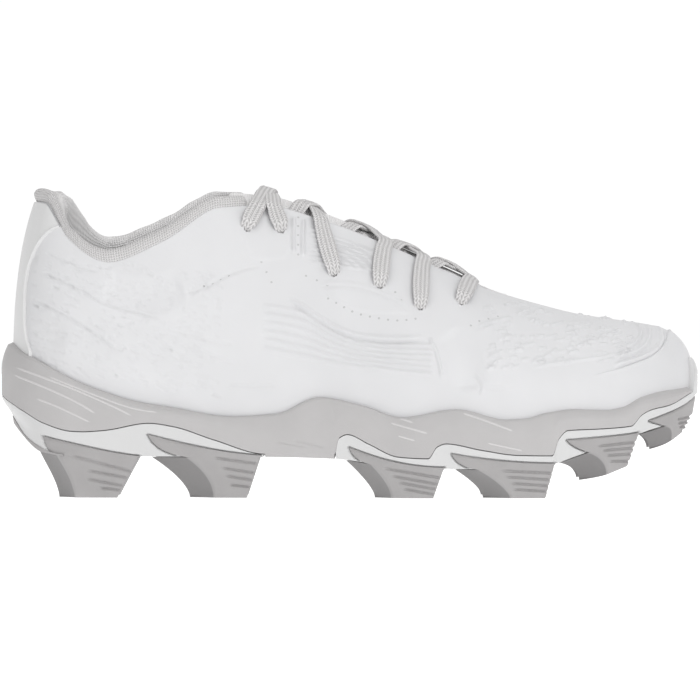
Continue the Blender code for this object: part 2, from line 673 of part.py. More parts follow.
@lru_cache(maxsize=None)
def sole_rows(low, high):
    """Section rows along the sole between two places on the feather edge, closer where its side steps."""
    steps = [place + shift for place in STEP_PLACES for shift in STEP_SPREAD]
    ends = [ARCH_REAR_X - GAP, ARCH_REAR_X, ARCH_REAR_X + 2.0 * GAP,
            ARCH_FRONT_X - 2.0 * GAP, ARCH_FRONT_X, ARCH_FRONT_X + GAP]
    recesses = []
    for stud in STUDS:
        for x in (stud.tip_x - RECESS_MARGIN, fin_open_x(stud), stud.corner_x + RECESS_MARGIN):
            recesses += [x - GAP / 2.0, x + GAP / 2.0]
    exact = [*steps, *ends, *recesses, *HEEL_PLACES, *TOE_PLACES, *BUMPER_PLACES]
    even = [x for x in spread(SOLE_REAR_X, SOLE_FRONT_X, SOLE_COLUMNS)
            if all(abs(x - place) > COLUMN_CLEARANCE for place in exact)]
    places = {SOLE_REAR_X, SOLE_FRONT_X, *even, *exact}
    return [row_at_foot_x(x) for x in sorted(places) if low <= x <= high]


def side_point(side, u, z, inset=0.0):
    """A point on the sole's outer side at that height. Below the plate line the side tapers inwards."""
    x = column(side, "foot_x", u)
    taper = SIDE_TAPER * max(0.0, plate_height(x) - z)
    foot = foot_point(side, u)
    edge = foot + outward(side, u) * (wall_out(x) - taper - inset)
    return Vector((edge.x, edge.y, z))


def plate_bed(x):
    """Height of a plate's upper face, on which the cup sole lies."""
    return min(under_height(x) + PLATE_THICKNESS, plate_height(x) - 2.0 * GAP)


def midsole_half(side, u):
    """One side of the cup sole's section, from the footbed out over the rim and down to the underside."""
    x = column(side, "foot_x", u)
    out = outward(side, u)
    foot = foot_point(side, u)
    rim, under = rim_height(x), under_height(x)
    line = min(plate_height(x), rim - 2.0)
    bumped = x > BUMPER_START_X - 0.5
    step = PLATE_LIP + GAP
    inset = step if bumped else 0.0
    rim_skin = skin_at_height(side, u, rim)
    lip_height = rim - 0.8
    lip_skin = skin_at_height(side, u, lip_height) + out * (GAP + LIP_THICKNESS)
    half = [
        Vector((foot.x, foot.y, foot.z - GAP)) + out * GAP,
        skin_at_height(side, u, 0.5 * (foot.z + rim)) + out * GAP,
        rim_skin + out * GAP,
        rim_skin + out * (GAP + 0.6 * LIP_THICKNESS),
        side_point(side, u, lip_height, inset).lerp(lip_skin, 0.0 if bumped else 0.7),
        side_point(side, u, line + 0.55 * (rim - line), inset),
        side_point(side, u, line, inset),
    ]
    if ARCH_REAR_X + GAP < x < ARCH_FRONT_X - GAP:
        half += [side_point(side, u, line - 0.2), side_point(side, u, under, 1.5)]
    else:
        half += [side_point(side, u, line - (0.2 if bumped else 0.0), step),
                 side_point(side, u, plate_bed(x) + GAP, step)]
    return half


def make_midsole(parts):
    rings = []
    for u in sole_rows(SOLE_REAR_X, SOLE_FRONT_X):
        rings.append([*midsole_half(LATERAL, u), *reversed(midsole_half(MEDIAL, u))])
    object_from_mesh("midsole", loft("midsole", rings), parts, GREY_FOAM)


def bumper_share(x):
    share = min(max((x - BUMPER_START_X) / (BUMPER_FULL_X - BUMPER_START_X), 0.0), 1.0)
    return share * share * (3.0 - 2.0 * share)


def plate_top(x):
    """The plate's top edge: under the cup's grey side, and up before the toe as a bumper."""
    return mix(plate_height(x) - GAP, BUMPER_TOP, bumper_share(x))


def fin_top(stud, across):
    """Height of a fin's top edge, from its tip to the stud's front corner."""
    return mix(stud.corner_z, stud.tip_z, (1.0 - across) ** stud.hollow)


def stud_top_rear_x(stud):
    """Where the rear edge of the outer face, sweeping back to the fin's tip, meets the plate's underside."""
    share = (under_height(stud.rear_x) - stud.rear_z) / (stud.tip_z - stud.rear_z)
    return mix(stud.rear_x, stud.tip_x, share ** STUD_FLARE)


def fin_open_x(stud):
    """Where the fin's lower edge comes down to the plate's underside and its recess opens below."""
    body_x = stud_top_rear_x(stud)
    body_z = under_height(body_x) - STUD_GAP
    open_z = under_height(body_x) + FIN_CLEARANCE + 2.0 * GAP
    return mix(stud.tip_x, body_x, (stud.tip_z - open_z) / (stud.tip_z - body_z))


Recess = namedtuple("Recess", "top low depth opening")


def plate_recess(x):
    """The recess in the plate's side that holds a stud's fin, flat between the fins."""
    under = under_height(x)
    for stud in STUDS:
        if not stud.tip_x - RECESS_MARGIN <= x <= stud.corner_x + RECESS_MARGIN:
            continue
        across = min(max((x - stud.tip_x) / (stud.corner_x - stud.tip_x), 0.0), 1.0)
        top = max(fin_top(stud, across) + FIN_CLEARANCE, under + 2.0 * GAP)
        if x > fin_open_x(stud):
            return Recess(top, under + GAP, LEDGE_DEPTH, LEDGE_DEPTH)
        body_x = stud_top_rear_x(stud)
        share = max((x - stud.tip_x) / (body_x - stud.tip_x), 0.0)
        low = mix(stud.tip_z, under_height(body_x) - STUD_GAP, share) - FIN_CLEARANCE
        return Recess(top, low, LEDGE_DEPTH, 0.0)
    return Recess(under + 2.0 * GAP, under + 2.0 * GAP, 0.0, 0.0)


def plate_half(side, u):
    """One side of a plate's section: the lip's inner face and top, the outer side and the fin's recess."""
    x = column(side, "foot_x", u)
    top, line, under = plate_top(x), plate_height(x) - GAP, under_height(x)
    lip = mix(PLATE_LIP, BUMPER_THICKNESS, bumper_share(x))
    recess = plate_recess(x)
    ledge = min(recess.top, line - GAP)
    low = min(recess.low, ledge)
    return [
        side_point(side, u, plate_bed(x), PLATE_LIP),
        side_point(side, u, line, PLATE_LIP),
        side_point(side, u, top, lip),
        side_point(side, u, top),
        side_point(side, u, line),
        side_point(side, u, ledge),
        side_point(side, u, ledge, recess.depth),
        side_point(side, u, low, recess.depth),
        side_point(side, u, low, recess.opening),
        side_point(side, u, under, recess.opening),
    ]


def make_plate(name, low, high, parts):
    rings = []
    for u in sole_rows(low, high):
        rings.append([*plate_half(LATERAL, u), *reversed(plate_half(MEDIAL, u))])
    object_from_mesh(name, loft(name, rings, "face"), parts, WHITE_MOULDED)


def inboard_point(side, u, z, depth):
    """A point that far in from the sole's side, straight across towards the other side."""
    near, far = side_point(side, u, z), side_point(OTHER[side], u, z)
    return near + (far - near).normalized() * min(depth, STUD_REACH_LIMIT * (far - near).length)


def stud_mesh(name, side, stud):
    """A stud's body up to the plate's underside, then its fin up the plate's side."""
    top_rear, top_front = stud_top_rear_x(stud), mix(stud.front_x, stud.corner_x, STUD_TOP_SHARE)
    rings = []
    for row in range(STUD_BODY_ROWS):
        share = row / (STUD_BODY_ROWS - 1)
        bend = share ** STUD_FLARE
        rear, front = mix(stud.rear_x, top_rear, bend), mix(stud.front_x, top_front, share)
        inner_rear = mix(stud.inner_x, stud.inner_top_x, bend)
        outer, inner = [], []
        for across, groove in STUD_ACROSS:
            x = mix(rear, front, across)
            z = mix(mix(stud.rear_z, stud.front_z, across), under_height(x) - STUD_GAP, share)
            outer.append(side_point(side, row_at_foot_x(x), z, FIN_RECESS + groove * (row % 2)))
            x = mix(inner_rear, front - STUD_INNER_SETBACK, across)
            z = mix(mix(stud.inner_z, stud.front_z, across), under_height(x) - STUD_GAP, share)
            inner.append(inboard_point(side, row_at_foot_x(x), z, stud.depth))
        rings.append([*outer, *reversed(inner)])
    for row in range(STUD_FIN_ROWS):
        share = row / (STUD_FIN_ROWS - 1)
        outer, inner = [], []
        for across, groove in STUD_ACROSS:
            foot_x = mix(top_rear, top_front, across)
            x = mix(foot_x, mix(stud.tip_x, stud.corner_x, across), share)
            z = mix(under_height(foot_x) - STUD_GAP, fin_top(stud, across), share)
            outer.append(side_point(side, row_at_foot_x(x), z, FIN_RECESS))
            inner.append(side_point(side, row_at_foot_x(x), z, FIN_RECESS + FIN_THICKNESS))
        rings.append([*outer, *reversed(inner)])
    return loft(name, rings, "strip")


def make_studs(parts):
    for side in SIDES:
        for stud in STUDS:
            name = f"stud_{stud.name}_{side}"
            object_from_mesh(name, stud_mesh(name, side, stud), parts, GREY_RUBBER)


# The lace: each strand leaves a hole on one side, crosses the tongue and ends before the other throat edge

Strand = namedtuple("Strand", "side start end rise under")
CROSSINGS = [
    (Strand(LATERAL, 2, 1, 0.0, 3.0), Strand(LATERAL, 1, 2, 0.4, -5.0)),
    (Strand(LATERAL, 3, 2, 0.0, 4.6), Strand(MEDIAL, 3, 2, 0.7, 4.6)),
    (Strand(LATERAL, 4, 3, 0.7, 3.0), Strand(MEDIAL, 4, 3, 0.0, 3.0)),
    (Strand(LATERAL, 5, 4, 0.0, 3.0), Strand(MEDIAL, 5, 4, 0.7, 3.0)),
    (Strand(LATERAL, 6, 5, 0.7, 3.0), Strand(MEDIAL, 6, 5, 0.0, 3.0)),
]
LACE_LIFT = 0.9
LACE_SINK = 0.4
LACE_LEAST_RISE = 0.6
LACE_EDGE_SHARE = 0.995
# For each hole, how far along from it its strand goes over the throat edge
LACE_OVER = (4.0, -3.2, -6.0, 1.6, 0.8, 3.4)


def strand_path(strand):
    """Points along a strand's underside with the normals there."""
    far = OTHER[strand.side]
    start, end = EYELETS[strand.start - 1], EYELETS[strand.end - 1]
    u_start, w_start = place_on_side(strand.side, start.x, start.z)
    u_near = row_at_edge_x(start.x + LACE_OVER[strand.start - 1])
    u_far = row_at_edge_x(end.x + strand.under)
    u_middle = mix(u_near, u_far, 0.5)
    edge_normals = [skin_normal(side, u_middle, LACE_EDGE_SHARE) for side in SIDES]
    up = (edge_normals[0] + edge_normals[1]).normalized()
    path = []
    for share in spread(0.0, 1.0, 5):
        u, w = mix(u_start, u_near, share), mix(w_start, LACE_EDGE_SHARE, share)
        normal = skin_normal(strand.side, u, w)
        path.append((skin(strand.side, u, w) + normal * LACE_LIFT, normal.lerp(up, 0.5 * share ** 3)))
    near, far_edge = path[-1][0], lifted(far, u_far, LACE_EDGE_SHARE, LACE_LIFT)
    over = max(LACE_LEAST_RISE, tongue_crown(u_middle) - LACE_SINK) + strand.rise
    for share in (0.25, 0.5, 0.65, 0.8):
        hump = 1.0 - (2.0 * share - 1.0) ** 2
        path.append((near.lerp(far_edge, share) + up * over * hump, up))
    return path


def strand_mesh(name, strand):
    """A flat ribbon along the strand's path."""
    path = strand_path(strand)
    grid = []
    for k, (point, normal) in enumerate(path):
        ahead, behind = path[min(k + 1, len(path) - 1)][0], path[max(k - 1, 0)][0]
        across = (ahead - behind).cross(normal).normalized() * LACE_WIDTH / 2.0
        grid.append([point - across, point + across])
    return sheet(name, grid, flip=True)


def make_laces(parts, cutters):
    for number, crossing in enumerate(CROSSINGS, 1):
        strands = []
        for half, strand in enumerate(crossing):
            name = f"lace_crossing_{number}" if half == 0 else f"lace_strand_{number}"
            owner = parts if half == 0 else cutters
            made = object_from_mesh(name, strand_mesh(name, strand), owner, GREY_LACE if half == 0 else None)
            thicken(made, LACE_THICKNESS, 1.0)
            strands.append(made)
        strands[1].hide_render = True
        strands[1].display_type = "WIRE"
        union = strands[0].modifiers.new("crossing", "BOOLEAN")
        union.operation = "UNION"
        union.solver = "EXACT"
        union.object = strands[1]


def collection(name):
    made = bpy.data.collections.new(name)
    bpy.context.scene.collection.children.link(made)
    return made


def main():
    for old in list(bpy.data.objects):
        bpy.data.objects.remove(old)
    parts = collection("softball_cleat")
    make_upper(parts, collection("eyelet_cutters"))
    make_heel_counter(parts)
    make_toe_cap(parts)
    make_collar(parts)
    make_tongue(parts)
    make_insole(parts)
    make_midsole(parts)
    make_plate("outsole_heel", SOLE_REAR_X, ARCH_REAR_X - GAP, parts)
    make_plate("outsole_forefoot", ARCH_FRONT_X + GAP, SOLE_FRONT_X, parts)
    make_studs(parts)
    make_laces(parts, collection("lace_strands"))


main()
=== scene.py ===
import math

import bmesh
import bpy
import numpy as np
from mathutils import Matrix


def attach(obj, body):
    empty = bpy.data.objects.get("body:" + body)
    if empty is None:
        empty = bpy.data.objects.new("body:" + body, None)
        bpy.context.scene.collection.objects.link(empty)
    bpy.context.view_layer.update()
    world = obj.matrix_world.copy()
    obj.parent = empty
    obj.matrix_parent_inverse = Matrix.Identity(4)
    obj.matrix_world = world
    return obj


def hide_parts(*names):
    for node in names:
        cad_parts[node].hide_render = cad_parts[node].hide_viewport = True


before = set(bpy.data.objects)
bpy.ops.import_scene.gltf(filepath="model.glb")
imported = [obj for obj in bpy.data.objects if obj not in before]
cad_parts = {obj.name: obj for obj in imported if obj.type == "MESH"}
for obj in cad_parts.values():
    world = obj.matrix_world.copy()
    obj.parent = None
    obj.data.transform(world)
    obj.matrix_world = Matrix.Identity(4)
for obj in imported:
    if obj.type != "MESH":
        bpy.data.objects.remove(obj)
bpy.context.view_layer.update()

scene = bpy.context.scene
mm = 0.001  # tables are in millimetres, meshes in metres
lateral, medial = 0, 1
sideName = ("lateral", "medial")
sideSign = (-1.0, 1.0)
gap = 0.3

# The last: one row for each section, from the heel's back to the toe's tip
lastColumns = "footX footLat footMed footZ topX topLat topMed ridgeY topZLat topZMed swell round turn".split()
lastRows = [
    (-133.6, 0.0, 0.0, 33.0, -125.5, 0.0, 0.0, 0.0, 118.0, 118.0, 1.5, 1.00, 60.0),
    (-127.0, 19.0, 19.0, 32.5, -121.0, 13.0, 13.0, 0.0, 117.2, 117.2, 1.8, 1.00, 60.0),
    (-110.0, 29.0, 28.5, 31.5, -112.0, 24.0, 23.5, 0.0, 102.8, 105.0, 2.2, 1.05, 58.0),
    (-86.0, 31.5, 30.0, 30.0, -96.0, 29.0, 28.5, 0.0, 93.6, 98.5, 2.0, 1.10, 55.0),
    (-60.0, 32.0, 28.0, 28.0, -74.0, 28.5, 27.5, 0.0, 102.2, 106.0, 2.0, 1.15, 58.0),
    (-35.0, 33.0, 26.5, 26.0, -52.0, 22.5, 22.0, 0.5, 115.4, 117.0, 2.5, 1.15, 62.0),
    (-14.0, 34.8, 27.4, 24.0, -34.0, 15.0, 14.5, 1.0, 116.2, 117.0, 3.0, 1.15, 66.0),
    (8.0, 38.2, 31.8, 22.0, -10.0, 13.0, 12.5, 1.5, 110.0, 111.0, 2.5, 1.12, 70.0),
    (30.0, 41.6, 37.6, 20.5, 18.0, 11.5, 11.5, 2.0, 99.0, 99.5, 2.0, 1.10, 76.0),
    (48.0, 42.2, 41.6, 20.0, 45.0, 8.5, 8.5, 2.8, 87.2, 87.5, 1.8, 1.08, 84.0),
    (60.0, 41.6, 42.8, 20.0, 54.0, 0.0, 0.0, 3.2, 83.2, 83.2, 1.5, 1.05, 90.0),
    (78.0, 38.6, 43.0, 21.5, 72.0, 0.0, 0.0, 4.0, 77.6, 77.6, 1.5, 1.00, 90.0),
    (98.0, 32.6, 40.6, 24.5, 90.0, 0.0, 0.0, 5.0, 73.0, 73.0, 1.5, 0.95, 90.0),
    (116.0, 23.4, 35.0, 29.5, 103.0, 0.0, 0.0, 6.0, 70.9, 70.9, 1.2, 0.90, 90.0),
    (128.4, 11.0, 25.5, 34.0, 112.0, 0.0, 0.0, 6.8, 69.5, 69.5, 1.0, 0.86, 90.0),
    (135.4, -7.2, 7.2, 38.0, 116.5, 0.0, 0.0, 7.2, 68.6, 68.6, 1.4, 0.82, 90.0),
]
throatEnd, toeRow = 10.0, 15.0
ribSteps = 64

# Heights along the sole: the cup's top edge, the line over the plates and the underside
soleRim = [
    (-136.0, 63.4), (-133.2, 61.2), (-129.3, 58.0), (-124.0, 55.0), (-108.0, 46.6), (-97.5, 42.6),
    (-83.0, 38.2), (-72.0, 36.4), (-46.0, 32.4), (-28.0, 33.4), (-8.0, 40.0), (8.0, 37.0), (23.0, 32.1),
    (43.0, 35.2), (62.0, 31.2), (69.0, 31.6), (77.0, 33.8), (88.0, 35.2), (100.0, 34.8), (107.0, 36.0),
    (114.5, 40.0), (122.0, 42.0), (129.0, 43.0), (136.0, 44.8),
]
plateLine = [
    (-136.0, 41.0), (-133.6, 40.5), (-131.5, 38.6), (-129.4, 37.0), (-127.0, 35.1), (-119.8, 29.9),
    (-110.0, 26.6), (-106.0, 26.4), (-97.0, 27.0), (-80.0, 29.8), (-70.0, 28.4), (-54.0, 23.2),
    (-34.0, 17.6), (-20.0, 17.4), (-5.6, 17.4), (-4.0, 23.8), (-0.5, 25.4), (8.0, 21.6), (20.0, 16.5),
    (31.0, 15.9), (34.6, 20.6), (38.0, 21.8), (52.0, 19.2), (66.0, 17.2), (79.0, 17.0), (81.4, 23.6),
    (85.0, 27.0), (98.0, 27.6), (109.4, 28.6), (113.4, 33.0), (117.0, 35.0), (124.0, 36.8), (130.0, 40.2),
    (136.0, 43.4),
]
underside = [
    (-136.0, 35.0), (-133.0, 29.0), (-128.0, 23.5), (-121.0, 18.5), (-108.0, 16.6), (-34.0, 16.3),
    (-6.0, 15.6), (20.0, 12.4), (50.0, 11.6), (78.0, 13.2), (88.0, 16.4), (94.0, 18.6), (100.0, 20.6),
    (108.0, 23.2), (116.0, 26.4), (124.0, 28.8), (130.0, 30.6), (136.0, 34.0),
]
wallOut = [
    (-136.0, 6.2), (-128.0, 5.4), (-110.0, 4.8), (-60.0, 4.6), (-10.0, 4.6), (40.0, 5.0), (90.0, 4.8),
    (120.0, 4.6), (129.0, 4.4), (136.0, 3.6),
]


def unitVectors(vectors):
    return vectors / np.linalg.norm(vectors, axis=-1, keepdims=True)


def lengthAlong(points):
    # length along a line of points, from its start to each of them
    return np.concatenate([[0.0], np.cumsum(np.linalg.norm(np.diff(points, axis=0), axis=1))])


def pchip(knots, values):
    # a smooth curve through the values that doesn't overshoot, with its slope
    knots, values = np.asarray(knots, float), np.asarray(values, float)
    spans = np.diff(knots)
    rates = np.diff(values) / spans
    left, right = rates[:-1], rates[1:]
    agree = left * right > 0.0
    middle = np.where(agree, 2.0 * left * right / np.where(agree, left + right, 1.0), 0.0)
    slopes = np.concatenate([rates[:1], middle, rates[-1:]])

    def at(place):
        place = np.clip(place, knots[0], knots[-1])
        row = np.clip(np.searchsorted(knots, place) - 1, 0, len(spans) - 1)
        span = spans[row]
        t = (place - knots[row]) / span
        a, b = values[row], values[row + 1]
        da, db = slopes[row] * span, slopes[row + 1] * span
        c2, c3 = 3.0 * (b - a) - 2.0 * da - db, 2.0 * (a - b) + da + db
        return a + da * t + c2 * t**2 + c3 * t**3, (da + 2.0 * c2 * t + 3.0 * c3 * t**2) / span

    return at


def heightCurve(rows):
    curve = pchip([row[0] for row in rows], [row[1] for row in rows])
    return lambda x: curve(x)[0]


rimHeight, lineHeight, underHeight = heightCurve(soleRim), heightCurve(plateLine), heightCurve(underside)
wallReach = heightCurve(wallOut)


def sideColumns(side):
    column = {name: np.array([row[k] for row in lastRows]) for k, name in enumerate(lastColumns)}
    foot, top, topZ = (("footMed", "topMed", "topZMed") if side else ("footLat", "topLat", "topZLat"))
    made = {name: column[name] for name in ("footX", "footZ", "topX", "ridgeY", "swell", "round")}
    made["footY"] = sideSign[side] * column[foot]
    made["topY"] = column["ridgeY"] + sideSign[side] * column[top]
    made["topZ"] = column[topZ]
    made["turn"] = np.radians(column["turn"])
    return made


def sideCurves(side):
    near, far = sideColumns(side), sideColumns(1 - side)
    rows = np.arange(-1, len(lastRows) + 1)
    # each curve runs on past heel and toe, into the other side's
    made = {name: pchip(rows, [far[name][1], *near[name], far[name][-2]]) for name in near}
    end = int(throatEnd)
    made["throatY"] = pchip(rows[: end + 2], [far["topY"][1], *near["topY"][: end + 1]])
    return made


curves = (sideCurves(lateral), sideCurves(medial))
denseRows = np.linspace(0.0, toeRow, 6001)
denseFootX = curves[lateral]["footX"](denseRows)[0]
denseTopX = curves[lateral]["topX"](denseRows)[0]
soleRear, soleFront = denseFootX[0], denseFootX[-1]


def footX(u):
    return curves[lateral]["footX"](u)[0]


def rowAtFootX(x):
    return np.interp(x, denseFootX, denseRows)


def rowAtEdgeX(x):
    return np.interp(x, denseTopX, denseRows)


def footPoint(side, u):
    return np.stack([curves[side][name](u)[0] for name in ("footX", "footY", "footZ")], -1)


def outward(side, u):
    along = unitVectors(np.stack([curves[side]["footX"](u)[1], curves[side]["footY"](u)[1]], -1))
    return sideSign[side] * np.stack([-along[..., 1], along[..., 0], 0.0 * along[..., 0]], -1)


def ribs(side, u):
    # points up the upper from feather edge to collar, throat or ridge, for each u, and the length up to each
    u = np.asarray(u, float)
    curve = {name: at(u)[0] for name, at in curves[side].items()}
    foot = footPoint(side, u)
    topY = np.where(u < throatEnd, curve["throatY"], curve["ridgeY"])
    reach = np.stack([curve["topX"], topY, curve["topZ"]], -1) - foot
    out = outward(side, u)
    inward = (reach * out).sum(-1)
    lean = reach * np.array([1.0, 1.0, 0.0]) - out * inward[:, None]
    share = np.linspace(0.0, 1.0, ribSteps + 1)
    power, full = curve["round"][:, None], curve["turn"][:, None]
    turn = share * full
    rise = np.sin(turn) ** power / np.sin(full) ** power
    fold = (1.0 - np.maximum(np.cos(turn), 0.0) ** power) / (1.0 - np.maximum(np.cos(full), 0.0) ** power)
    away = inward[:, None] * fold + curve["swell"][:, None] * np.sin(math.pi * share)
    points = foot[:, None] + out[:, None] * away[..., None] + lean[:, None] * rise[..., None]
    points[..., 2] += reach[:, 2:3] * rise
    lengths = np.concatenate(
        [np.zeros((len(u), 1)), np.cumsum(np.linalg.norm(np.diff(points, axis=1), axis=-1), axis=1)], 1
    )
    return points, lengths


def alongRibs(points, measure, wanted):
    # the point on each rib where the measure, which grows along it, has the wanted value
    row = np.clip((measure <= wanted[:, None]).sum(1) - 1, 0, measure.shape[1] - 2)
    each = np.arange(len(row))
    low, high = measure[each, row], measure[each, row + 1]
    share = np.clip((wanted - low) / np.maximum(high - low, 1e-9), 0.0, 1.0)[:, None]
    return points[each, row] * (1.0 - share) + points[each, row + 1] * share


def skin(side, u, w):
    u, w = np.broadcast_arrays(np.asarray(u, float), np.asarray(w, float))
    points, lengths = ribs(side, u.ravel())
    return alongRibs(points, lengths, w.ravel() * lengths[:, -1]).reshape(*u.shape, 3)


def skinAtHeight(side, u, z):
    points = ribs(side, u)[0]
    made = alongRibs(points, points[..., 2], np.asarray(z, float))
    made[:, 2] = np.where(z < points[:, 0, 2], z, made[:, 2])
    return made


def shareAtHeight(side, u, z):
    points, lengths = ribs(side, u)
    shares = (lengths / lengths[:, -1:])[..., None]
    return alongRibs(shares, points[..., 2], np.asarray(z, float))[:, 0]


def skinNormal(side, u, w):
    stepU, stepW = 0.02, 0.01
    u, w = np.broadcast_arrays(np.asarray(u, float), np.asarray(w, float))
    across = skin(side, np.minimum(u + stepU, toeRow), w) - skin(side, np.maximum(u - stepU, 0.0), w)
    heel = skin(side, stepU, w) - skin(1 - side, stepU, w)
    toe = skin(1 - side, toeRow - stepU, w) - skin(side, toeRow - stepU, w)
    across = np.where((u <= 0.0)[..., None], heel, np.where((u >= toeRow)[..., None], toe, across))
    up = skin(side, u, np.minimum(w + stepW, 1.0)) - skin(side, u, np.maximum(w - stepW, 0.0))
    over = skin(1 - side, u, 1.0 - stepW) - skin(side, u, 1.0 - stepW)
    up = np.where(((w >= 1.0) & (u >= throatEnd))[..., None], over, up)
    return unitVectors(np.cross(across, up) * -sideSign[side])


def lifted(side, u, w, lift):
    return skin(side, u, w) + skinNormal(side, u, w) * np.asarray(lift, float)[..., None]


def placeOnSide(side, x, z):
    x, z = np.asarray(x, float), np.asarray(z, float)
    low, high = np.zeros(len(x)), np.full(len(x), toeRow)
    for _ in range(36):
        middle = (low + high) / 2.0
        short = skinAtHeight(side, middle, z)[:, 0] < x
        low, high = np.where(short, middle, low), np.where(short, high, middle)
    u = (low + high) / 2.0
    return u, shareAtHeight(side, u, z)


def mix(a, b, share):
    return a + (b - a) * share


def ease(value, low, high):
    t = np.clip((value - low) / (high - low), 0.0, 1.0)
    return t * t * (3.0 - 2.0 * t)


def bend(points, count):
    # a smooth line through points, evenly sampled
    points = np.asarray(points, float)
    ends = np.concatenate([[2 * points[0] - points[1]], points, [2 * points[-1] - points[-2]]])
    place = np.linspace(0.0, len(points) - 1.0, count)
    k = np.minimum(place.astype(int), len(points) - 2)
    t = (place - k)[:, None]
    a, b, c, d = ends[k], ends[k + 1], ends[k + 2], ends[k + 3]
    return 0.5 * (2 * b + (c - a) * t + (2 * a - 5 * b + 4 * c - d) * t**2 + (3 * b - a - 3 * c + d) * t**3)


print("last: sections ready")


# Finishes
class Wire:
    def __init__(self, finish, socket):
        self.finish = finish
        self.socket = socket

    def calc(self, operation, first, second=0.0):
        return self.finish.node("ShaderNodeMath", {"operation": operation}, {0: first, 1: second})

    def __add__(self, other):
        return self.calc("ADD", self, other)

    def __radd__(self, other):
        return self.calc("ADD", other, self)

    def __sub__(self, other):
        return self.calc("SUBTRACT", self, other)

    def __rsub__(self, other):
        return self.calc("SUBTRACT", other, self)

    def __mul__(self, other):
        return self.calc("MULTIPLY", self, other)

    def __rmul__(self, other):
        return self.calc("MULTIPLY", other, self)

    def sine(self):
        return self.calc("SINE", self)

    def ease(self, low, high):
        return self.finish.node(
            "ShaderNodeMapRange",
            {"interpolation_type": "SMOOTHSTEP"},
            {"Value": self, "From Min": low, "From Max": high},
        )


class Nodes:
    def __init__(self, tree):
        self.tree = tree

    def node(self, kind, settings, values, output=0):
        made = self.tree.nodes.new(kind)
        for name, value in settings.items():
            setattr(made, name, value)
        for key, value in values.items():
            if isinstance(value, Wire):
                self.tree.links.new(value.socket, made.inputs[key])
            else:
                made.inputs[key].default_value = value
        return Wire(self, made.outputs[output])

    def parts(self, vector):
        return [self.node("ShaderNodeSeparateXYZ", {}, {0: vector}, axis) for axis in "XYZ"]


class Finish(Nodes):
    def __init__(self, name, roughness):
        self.material = bpy.data.materials.new(name)
        self.material.use_nodes = True
        super().__init__(self.material.node_tree)
        self.tree.nodes.clear()
        self.shader = self.tree.nodes.new("ShaderNodeBsdfPrincipled")
        self.shader.inputs["Roughness"].default_value = roughness
        output = self.tree.nodes.new("ShaderNodeOutputMaterial")
        self.tree.links.new(self.shader.outputs["BSDF"], output.inputs["Surface"])

    def feed(self, socket, value):
        if isinstance(value, Wire):
            self.tree.links.new(value.socket, self.shader.inputs[socket])
        else:
            self.shader.inputs[socket].default_value = value

    def place(self):
        return self.node("ShaderNodeTexCoord", {}, {}, "Object")

    def uv(self):
        return self.node("ShaderNodeUVMap", {"uv_map": "uv"}, {})

    def vector(self, x, y, z):
        return self.node("ShaderNodeCombineXYZ", {}, {0: x, 1: y, 2: z})

    def noise(self, vector, scale, detail=2.0):
        values = {"Vector": vector, "Scale": scale, "Detail": detail}
        return self.node("ShaderNodeTexNoise", {}, values, "Fac")

    def blend(self, share, first, second):
        first, second = [end if isinstance(end, Wire) else (*end, 1.0) for end in (first, second)]
        return self.node("ShaderNodeMix", {"data_type": "RGBA"}, {0: share, 6: first, 7: second}, 2)

    def bump(self, height, distance, strength=1.0):
        self.feed("Normal", self.node(
            "ShaderNodeBump", {}, {"Strength": strength, "Distance": distance, "Height": height}
        ))


def whiteSynthetic():
    look = {"light": (0.665, 0.665, 0.675), "dark": (0.62, 0.62, 0.63), "grain": 1300.0, "streak": 420.0}
    finish = Finish("white_synthetic", 0.5)
    place = finish.place()
    x, y, z = finish.parts(place)
    grain = finish.noise(place, look["grain"], 3.0)
    along, across = x * 0.89 - z * 0.45, x * 0.45 + z * 0.89  # the quarter's streaks fall towards the toe
    streaks = finish.noise(finish.vector(along * 0.09, y * 0.1, across), look["streak"], 3.0)
    quarter = 1.0 - x.ease(-0.075, -0.035)
    height = grain * 0.25 + streaks * quarter * 0.55
    finish.feed("Base Color", finish.blend(finish.noise(place, 55.0), look["dark"], look["light"]))
    finish.feed("Roughness", 0.46 + grain * 0.14)
    finish.bump(height, 0.00022, 0.7)
    return finish.material


def whiteMoulded(name, light, dark):
    look = {"light": (light,) * 3, "dark": (dark,) * 3}
    finish = Finish(name, 0.42)
    place = finish.place()
    grain = finish.noise(place, 1800.0, 2.0)
    finish.feed("Base Color", finish.blend(finish.noise(place, 40.0), look["dark"], look["light"]))
    finish.feed("Roughness", 0.38 + grain * 0.12)
    finish.bump(grain, 0.00006, 0.5)
    return finish.material


def greyFoam():
    # uv's first part marks the cup's raised lines, which are painted paler: a painted highlight along the
    # ridges
    look = {"light": (0.475, 0.465, 0.465), "dark": (0.42, 0.41, 0.41), "line": (0.57, 0.56, 0.56)}
    finish = Finish("grey_foam", 0.6)
    place = finish.place()
    raised = finish.parts(finish.uv())[0]
    grain = finish.noise(place, 1500.0, 3.0)
    foam = finish.blend(finish.noise(place, 70.0, 4.0), look["dark"], look["light"])
    finish.feed("Base Color", finish.blend(raised.ease(0.03, 0.2), foam, look["line"]))
    finish.feed("Roughness", 0.52 + grain * 0.16)
    finish.bump(grain, 0.0001, 0.6)
    return finish.material


